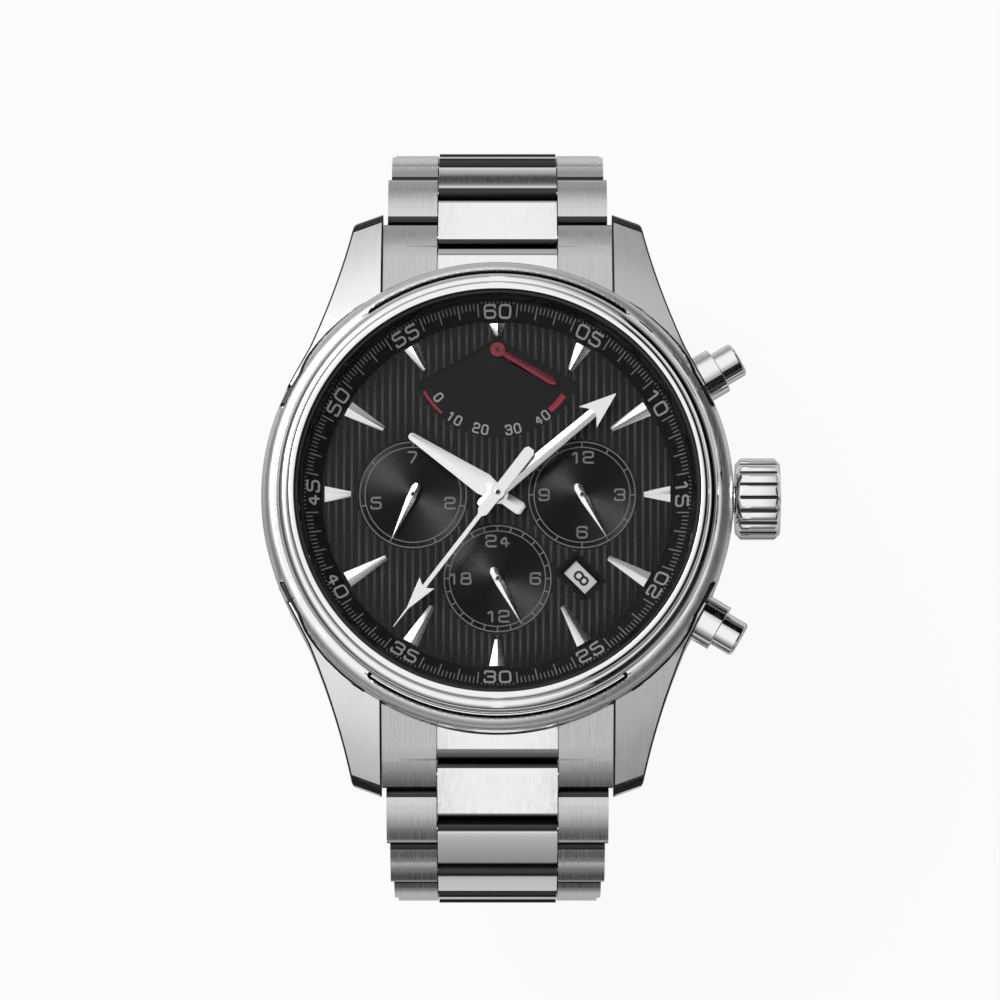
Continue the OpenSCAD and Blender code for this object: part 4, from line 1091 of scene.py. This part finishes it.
class WATCH_OT_dial(bpy.types.Operator):
    """Dial: ribs, turned sub-dials with their scales, power-reserve print, date window rim"""

    bl_idname = "watch.dial"
    bl_label = "Dial"

    def execute(self, context):
        coated("dial", finish(dial_lacquer))
        self.ribs()
        self.sub_dial("weekday", 7, {0: "7", 720 / 7: "2", 1800 / 7: "5"})
        self.sub_dial("month", 12, {0: "12", 90: "3", 180: "6", 270: "9"})
        self.sub_dial("day", 24, {0: "24", 90: "6", 180: "12", 270: "18"})
        self.reserve()
        self.window()
        return {"FINISHED"}

    def ribs(self):
        """Fine upright ribs over the whole dial, left out where it is sunk."""
        sizes = dial_sizes()
        pitch = sizes.rib_pitch / MM
        count = int((RING_INNER - 0.1) / pitch)
        spans = [(i * pitch, low, high) for i in range(-count, count + 1)
                 for low, high in rib_spans(i * pitch)]
        grown("dial_ribs", rib_tree, {
            "Half width": sizes.rib_width / 2, "Height": sizes.rib_height, "Sides": 12,
            "Material": finish(rib_lacquer)},
            [(x, (low + high) / 2, DIAL_TOP) for x, low, high in spans],
            ("length", [(high - low) * MM for x, low, high in spans]))

    def sub_dial(self, name, steps, numbers):
        """Turned disc with two circles, a tick for each step, and numbers at clock angles."""
        centre, grey = SUB_DIALS[name], finish(ink, "grey")
        floor, rim = SUB_FLOOR + 0.015, SUB_RADIUS - 0.02
        number_radius, number_height, stroke = 3.36, 1.12, 0.16
        tick_inner, tick_outer, tick_width = 4.25, 4.72, 0.1
        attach(box_ring(name + "_face", 0, rim, SUB_FLOOR - 0.02, floor,
                         finish(sunray_black, name, centre), centre=centre), "case")
        for part, inner, outer in (("outer", 4.68, 4.78), ("inner", 4.22, 4.3)):
            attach(box_ring(f"{name}_{part}_line", inner, outer, floor - INK_ROOT,
                             floor + INK_RISE, grey, centre=centre), "case")
        ticks(name + "_ticks", [360 / steps * i for i in range(steps)], tick_inner, tick_outer,
              tick_width, level(floor), grey, centre)
        bm = bmesh.new()
        for clock, text in numbers.items():
            spot = around(centre, number_radius, 90 - clock)
            write(bm, text, number_height, stroke, flat_place(spot, floor), wide=0.9, space=0.12)
        printed(name + "_numbers", bm, grey)

    def reserve(self):
        """Power-reserve scale: hours along an arc, with a red zone at each end."""
        hours, height, stroke = {"0": 231, "10": 212, "20": 192, "30": 169, "40": 147}, 0.95, 0.14
        bm = bmesh.new()
        for text, clock in hours.items():
            # The nought stands further in, clear of its red zone.
            radius = 6.75 if text == "0" else 7.25
            place = arc_place(RESERVE_PIVOT, radius, clock, level(SECTOR_FLOOR), inward=True)
            write(bm, text, height, stroke, place, wide=0.66, space=0.16)
        printed("reserve_scale", bm, finish(ink, "silver"))
        bm = bmesh.new()
        for start, end, radius, wide in ((-48, -36, 7.15, 0.5), (-150, -132, 7.52, 0.22)):
            zone = [Vector(p) for p in arc_points((0, 0), radius, start, end, 12)]
            stroke_line(bm, zone, False, wide, flat_place(RESERVE_PIVOT, SECTOR_FLOOR),
                        -INK_ROOT, 0.9 * INK_RISE)
        printed("reserve_zones", bm, finish(ink, "red"))

    def window(self):
        """Sloping black rim of the date window, on the dial's edge of the opening; where it reaches
        in past the opening it is partly the window's bevel and partly painted shade of the deep
        window.
        """
        turn = math.radians(90 - DATE_CLOCK)
        # Section of the rim: how far it grows past the opening, and its height over the dial.
        # The inward loops cover the date disc's edge in black: painted shade of the deep window.
        section = ((0.2, -0.02), (0.16, 0.05), (0.0, -0.1), (-0.32, -0.46), (-0.3, -0.5),
                   (0.02, -0.36))
        bm = bmesh.new()
        loops = []
        for grow, height in section:
            half_u, half_v = (side / 2 + grow - 0.01 for side in WINDOW)
            corners = [(DATE_RADIUS + u * half_u, v * half_v)
                       for u, v in ((1, 1), (-1, 1), (-1, -1), (1, -1))]
            loops.append([bm.verts.new((
                u * math.cos(turn) - v * math.sin(turn),
                u * math.sin(turn) + v * math.cos(turn), DIAL_TOP + height)) for u, v in corners])
        bridge(bm, loops)
        printed("date_window_rim", bm, finish(dial_lacquer))


class WATCH_OT_minute_ring(bpy.types.Operator):
    """Sloping minute ring with its numerals and ticks"""

    bl_idname = "watch.minute_ring"
    bl_label = "Minute ring"

    def execute(self, context):
        coated("minute_ring", finish(dial_lacquer))
        sizes, tick_ink = dial_sizes(), finish(ink, "pale grey")
        height, wide = sizes.numeral_height / MM, sizes.tick_width / MM
        numeral_radius = 16.36
        bm = bmesh.new()
        for minute in range(5, 61, 5):
            # The lower numerals face inward, so that they read upright.
            place = arc_place((0, 0), numeral_radius, minute * 6, ring_height, 20 <= minute <= 40)
            write(bm, f"{minute:02d}", height, 0.15 * height, place, wide=0.92, space=0.2,
                  low=0.0, high=0.025)
        printed("ring_numerals", bm, finish(ink, "silver"))
        groups = {"minute": [], "fraction": [], "numeral": []}
        steps = sizes.minutes * sizes.ticks_per_minute
        for i in range(steps):
            clock = 360 / steps * i
            by_numeral = abs((clock + 15) % 30 - 15) < 5.1
            part = "fraction" if i % sizes.ticks_per_minute else "minute"
            groups["numeral" if by_numeral else part].append(clock)
        for part, inner, outer, share in (
                ("minute", 15.98, 17.06, 1.0), ("fraction", 16.5, 17.06, 0.75),
                ("numeral", 16.98, 17.16, 0.7)):
            ticks(part + "_ticks", groups[part], inner, outer, share * wide, ring_height, tick_ink)
        return {"FINISHED"}


class WATCH_OT_markers(bpy.types.Operator):
    """Applied hour markers"""

    bl_idname = "watch.markers"
    bl_label = "Hour markers"

    def execute(self, context):
        dressed("hour_markers", 0.03 * MM, [finish(rhodium)], segments=2)
        return {"FINISHED"}


class WATCH_OT_hands(bpy.types.Operator):
    """Hands, with black dots painted on their hubs as the shade in their bores"""

    bl_idname = "watch.hands"
    bl_label = "Hands"

    def execute(self, context):
        for name in ("hour", "minute", "seconds", "weekday", "month", "day", "reserve"):
            coat = finish(red_lacquer if name == "reserve" else rhodium)
            dressed(name + "_hand", 0.025 * MM, [coat], segments=2)
        self.bore("seconds_hand", (0, 0), 0.2)
        for name, centre in SUB_DIALS.items():
            self.bore(name + "_hand", centre, 0.19)
        self.bore("reserve_hand", RESERVE_PIVOT, 0.2)
        return {"FINISHED"}

    def bore(self, node, centre, radius):
        """Black ink dot on a hand's hub: painted shade of its bore."""
        hub = 0.9
        high = max(v.co.z for v in frame["nodes"][node].data.vertices
                   if math.dist(v.co.xy / MM, centre) < hub) / MM
        dot = box_ring(node + "_bore", 0, radius, high - 0.03, high + 0.012,
                       finish(ink, "black"), 24, centre)
        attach(dot, body_of(node))


class WATCH_OT_date(bpy.types.Operator):
    """Date disc with its numbers"""

    bl_idname = "watch.date"
    bl_label = "Date disc"

    def execute(self, context):
        coated("date_disc", finish(white_lacquer))
        bed = level(high_corner("date_disc").z)
        days, height, stroke = 31, 1.5, 0.22
        bm = bmesh.new()
        for day in range(1, days + 1):
            clock = DATE_CLOCK - (day - DATE_SHOWN) * 360 / days
            place = arc_place((0, 0), DATE_RADIUS + 0.1, clock, bed)
            write(bm, str(day), height, stroke, place, wide=0.62, space=0.12)
        printed("date_numbers", bm, finish(ink, "black"), "date_disc")
        return {"FINISHED"}


class WATCH_OT_movement(bpy.types.Operator):
    """Movement: plates, rotor, balance, jewels and screws"""

    bl_idname = "watch.movement"
    bl_label = "Movement"

    def execute(self, context):
        for node in ("barrel_bridge", "train_bridge", "balance_cock", "main_plate"):
            dressed(node, 0.04 * MM, [finish(striped_nickel)])
        coated("movement_ring", finish(turned_steel))
        dressed("rotor", 0.05 * MM, [finish(turned_steel)])
        dressed("balance_wheel", 0.03 * MM, [finish(gilt_brass)])
        coated("minute_wheel", finish(gilt_brass))
        self.studs("bridge_jewels", False, 0.75, 0.1, finish(ruby), [
            (-5.2, 6.4), (4.6, 9.8), (-10.2, -3.2), (-7.4, -8.6), (6.2, -2.6)])
        self.studs("bridge_screws", True, 0.7, 0.18, finish(blued_steel), [
            (-9.6, 8.2), (9.4, 8.4), (0.0, 12.2), (-12.2, -2.2), (-8.8, -9.6), (10.6, -8.2)])
        return {"FINISHED"}

    def studs(self, name, slotted, radius, height, material, spots):
        """Jewels or screw heads at spots under the bridges, each turned a little further."""
        slot_width, bore, turn_step = 0.2, 0.18, 0.7
        under = low_corner("barrel_bridge").z + 0.6 * height
        grown(name, stud_tree, {
            "Radius": radius * MM, "Rim radius": 0.86 * radius * MM, "Height": height * MM,
            "Drop": (0, 0, -height * MM), "Slot": (3 * radius * MM, slot_width * MM, height * MM),
            "Cut drop": (0, 0, -1.45 * height * MM), "Bore": bore * MM, "Material": material},
            [(x, y, under) for x, y in spots],
            ("turn", [turn_step * i for i in range(len(spots))]), (name, slotted))


def reflected(tree, place, low, high, levels):
    """Grey that reflections see at a place between low and high, from (place, level) pairs."""
    along = add(tree, "ShaderNodeMapRange", {"Value": place, "From Min": low, "From Max": high})
    sheet = add(tree, "ShaderNodeValToRGB", {0: along})
    points = sheet.color_ramp.elements
    points.remove(points[1])
    for k, (spot, grey) in enumerate(levels):
        share = (spot - low) / (high - low)
        point = points.new(share) if k else points[0]
        point.position = share
        point.color = (grey, grey, grey, 1)
    return sheet


class WATCH_OT_stage(bpy.types.Operator):
    """Pale floor, soft lights and the camera"""

    bl_idname = "watch.stage"
    bl_label = "Studio"

    def execute(self, context):
        scene = context.scene
        scene.view_settings.view_transform = "Standard"
        self.backdrop()
        self.world(scene)
        self.cards()
        self.lights(scene)
        self.camera(scene)
        return {"FINISHED"}

    def backdrop(self):
        """White sweep. Reflections see grey and black cards on it, before and behind the watch."""
        material, tree, shader = surface("Pale studio floor", {
            "Base Color": srgb("#F4F4F4"), "Roughness": 0.9})
        ray = add(tree, "ShaderNodeLightPath").outputs
        place = add(tree, "ShaderNodeTexCoord")
        spot = add(tree, "ShaderNodeSeparateXYZ", {0: place.outputs["Object"]})
        # Levels along Y, in metres: pale and grey cards in front, a dark strip on each side.
        black = 0.015
        near, far = studio().dark_near, studio().dark_far
        sheet = reflected(tree, spot.outputs["Y"], -0.8, 0.8, (
            (-0.6, 0.08), (-0.4, 0.9), (-0.33, 1.0), (-0.26, 0.72), (-0.207, 0.48),
            (-0.15, 0.32), (-0.115, 0.2), (-0.1, black), (-0.068, black), (-0.06, 0.5),
            (-0.05, 0.6), (0.0, 0.3), (0.05, 0.6), (near - 0.003, 0.9), (near, black),
            (far, black), (far + 0.014, 0.95), (far + 0.03, 0.95), (far + 0.045, 0.35),
            (0.4, 0.45)))
        strength = add(tree, "ShaderNodeMix", {
            0: ray["Is Glossy Ray"], 2: 1.0, 3: sheet}, data_type="FLOAT")
        glow = add(tree, "ShaderNodeEmission", {"Color": (1, 1, 1, 1), "Strength": strength})
        seen = add(tree, "ShaderNodeMath", {
            0: ray["Is Camera Ray"], 1: ray["Is Glossy Ray"]}, operation="MAXIMUM")
        # The rest is the lit floor itself, which keeps the shadow.
        share = add(tree, "ShaderNodeMath", {0: seen, 1: 0.92}, operation="MULTIPLY")
        blend = add(tree, "ShaderNodeMixShader", {0: share, 1: shader, 2: glow})
        # Seen from below, the floor is clear, so that the watch's underside can be looked at.
        side = add(tree, "ShaderNodeNewGeometry")
        clear = add(tree, "ShaderNodeBsdfTransparent")
        both = add(tree, "ShaderNodeMixShader", {
            0: side.outputs["Backfacing"], 1: blend, 2: clear})
        tree.links.new(both.outputs["Shader"], tree.nodes["Material Output"].inputs["Surface"])
        half, low = 3, CAD_BOX[0][2] - 0.2 * MM
        mesh = bpy.data.meshes.new("studio_floor")
        mesh.from_pydata([(-half, -half, low), (half, -half, low), (half, half, low),
                          (-half, half, low)], [], [(0, 1, 2, 3)])
        mesh.materials.append(material)
        new_object("studio_floor", mesh)

    def world(self, scene):
        """Even light for matt surfaces; polished ones see a tent that dims low and at the sides."""
        scene.world = bpy.data.worlds.new("Studio")
        scene.world.use_nodes = True
        sky = scene.world.node_tree
        back = sky.nodes["Background"]
        back.inputs["Color"].default_value = (1, 1, 1, 1)
        ray = add(sky, "ShaderNodeLightPath").outputs
        way = add(sky, "ShaderNodeTexCoord").outputs["Generated"]
        across = add(sky, "ShaderNodeSeparateXYZ", {0: way}).outputs["X"]
        # Height of the way, leaning a little to the back of the watch.
        lean = add(sky, "ShaderNodeVectorMath", {0: way, 1: (0, 0.16, 1)}, operation="DOT_PRODUCT")
        grey = reflected(sky, lean.outputs["Value"], -0.2, 0.8, (
            (-0.16, 0.05), (0.0, 0.12), (0.16, 0.25), (0.3, 0.4), (0.42, 0.54), (0.55, 0.8),
            (0.68, 1.0)))
        for start, end, level_from, level_to in ((0.02, 0.42, 1.0, studio().far_side),
                                                 (-0.85, -0.5, studio().far_side, 1.0)):
            side = add(sky, "ShaderNodeMapRange", {
                "Value": across, "From Min": start, "From Max": end, "To Min": level_from,
                "To Max": level_to}, interpolation_type="SMOOTHSTEP")
            grey = add(sky, "ShaderNodeMath", {0: grey, 1: side}, operation="MULTIPLY")
        seen = add(sky, "ShaderNodeMath", {
            0: ray["Is Camera Ray"], 1: ray["Is Transmission Ray"]}, operation="MAXIMUM")
        matt = add(sky, "ShaderNodeMapRange", {
            "Value": seen, "To Min": studio().sky, "To Max": 1.0})
        strength = add(sky, "ShaderNodeMix", {
            0: ray["Is Glossy Ray"], 2: matt, 3: grey}, data_type="FLOAT")
        sky.links.new(strength.outputs[0], back.inputs["Strength"])

    def cards(self):
        """Cards on a sphere that only reflections see: a black flag and two strip lights.

        The black flag darkens the crown's side, and the strips whiten the first rows' centres."""
        reach, columns = 0.4, 16
        for name, glow, turns, rises in (
                ("side_flag", 0.0, (-60, 60), (20, 58)),
                ("front_strip", 1.0, (-91.8, -88.2), (20, 42)),
                ("back_strip", 1.0, (88.2, 91.8), (5, 30))):
            # Flocking clumps.
            material = grained("Flocked card " + name, {
                "Base Color": srgb("#050505"), "Roughness": 1.0, "Specular IOR Level": 0.0,
                "Emission Color": (1, 1, 1, 1), "Emission Strength": glow}, 2.5, 100)
            corners = []
            for rise in map(math.radians, rises):
                corners += [(x, y, reach * math.sin(rise)) for x, y in arc_points(
                    (0, 0), reach * math.cos(rise), *turns, columns)]
            mesh = bpy.data.meshes.new(name)
            mesh.from_pydata(corners, [], [
                (k, k + columns + 1, k + columns + 2, k + 1) for k in range(columns)])
            mesh.materials.append(material)
            card = new_object(name, mesh)
            card.visible_camera = False
            card.visible_diffuse = False
            card.visible_shadow = False
            card.visible_transmission = False

    def lights(self, scene):
        """Two softboxes, and a lamp on the sub-dials alone that draws their sunrays."""
        turned = bpy.data.collections.new("turned sub-dials")
        for name in SUB_DIALS:
            turned.objects.link(bpy.data.objects[name + "_face"])
        for name, spot, size, power, lit in (
                ("key softbox", (-0.30, 0.22, 0.50), 0.30, 1.6, None),
                ("fill softbox", (0.38, -0.25, 0.36), 0.30, 0.5, None),
                ("sunray lamp", (-0.19, 0.19, 0.29), 0.13, 4.5, turned)):
            lamp = bpy.data.lights.new(name, "AREA")
            lamp.shape = "SQUARE"
            lamp.size = size
            lamp.energy = power
            holder = bpy.data.objects.new(name, lamp)
            holder.location = spot
            holder.rotation_euler = (-Vector(spot)).to_track_quat("-Z", "Y").to_euler()
            scene.collection.objects.link(holder)
            if lit:
                holder.light_linking.receiver_collection = lit

    def camera(self, scene):
        """Looks down on the dial from the six o'clock side."""
        lens = bpy.data.cameras.new("camera")
        lens.sensor_width = 36
        lens.lens = lens.sensor_width * studio().distance / studio().view_width
        lens.clip_start = 0.01
        eye = bpy.data.objects.new("camera", lens)
        tilt = studio().elevation
        target = Vector((0.22, -0.67, 9.87)) * MM
        away = Vector((0, -math.cos(tilt), math.sin(tilt)))
        eye.location = target + away * studio().distance
        eye.rotation_euler = (math.pi / 2 - tilt, 0, 0)
        scene.collection.objects.link(eye)
        scene.camera = eye


class WATCH_PT_panel(bpy.types.Panel):
    """Lists the settings and the steps that dress the watch"""

    bl_idname = "WATCH_PT_panel"
    bl_label = "Watch"
    bl_space_type = "VIEW_3D"
    bl_region_type = "UI"
    bl_category = "Watch"

    def draw(self, context):
        for group in (dial_sizes(), finishes(), studio()):
            box = self.layout.box()
            for name in group.__annotations__:
                box.prop(group, name)
        for step in STEPS:
            self.layout.operator(step.bl_idname)


# The stage comes last, because its sunray lamp is linked to finished pieces.
STEPS = (WATCH_OT_case, WATCH_OT_bezel, WATCH_OT_controls, WATCH_OT_bracelet, WATCH_OT_clasp,
         WATCH_OT_dial, WATCH_OT_minute_ring, WATCH_OT_markers, WATCH_OT_hands, WATCH_OT_date,
         WATCH_OT_movement, WATCH_OT_stage)
GROUPS = {"watch_dial": WatchDialSizes, "watch_finish": WatchFinishes,
          "watch_studio": WatchStudio}
CLASSES = (*GROUPS.values(), *STEPS, WATCH_PT_panel)


def register():
    for kind in CLASSES:
        bpy.utils.register_class(kind)
    for name, group in GROUPS.items():
        setattr(bpy.types.Scene, name, PointerProperty(type=group))


def unregister():
    for name in GROUPS:
        delattr(bpy.types.Scene, name)
    for kind in reversed(CLASSES):
        bpy.utils.unregister_class(kind)


def main():
    register()
    for step in STEPS:
        family, name = step.bl_idname.split(".")
        getattr(getattr(bpy.ops, family), name)()


if __name__ == "__main__":
    main()
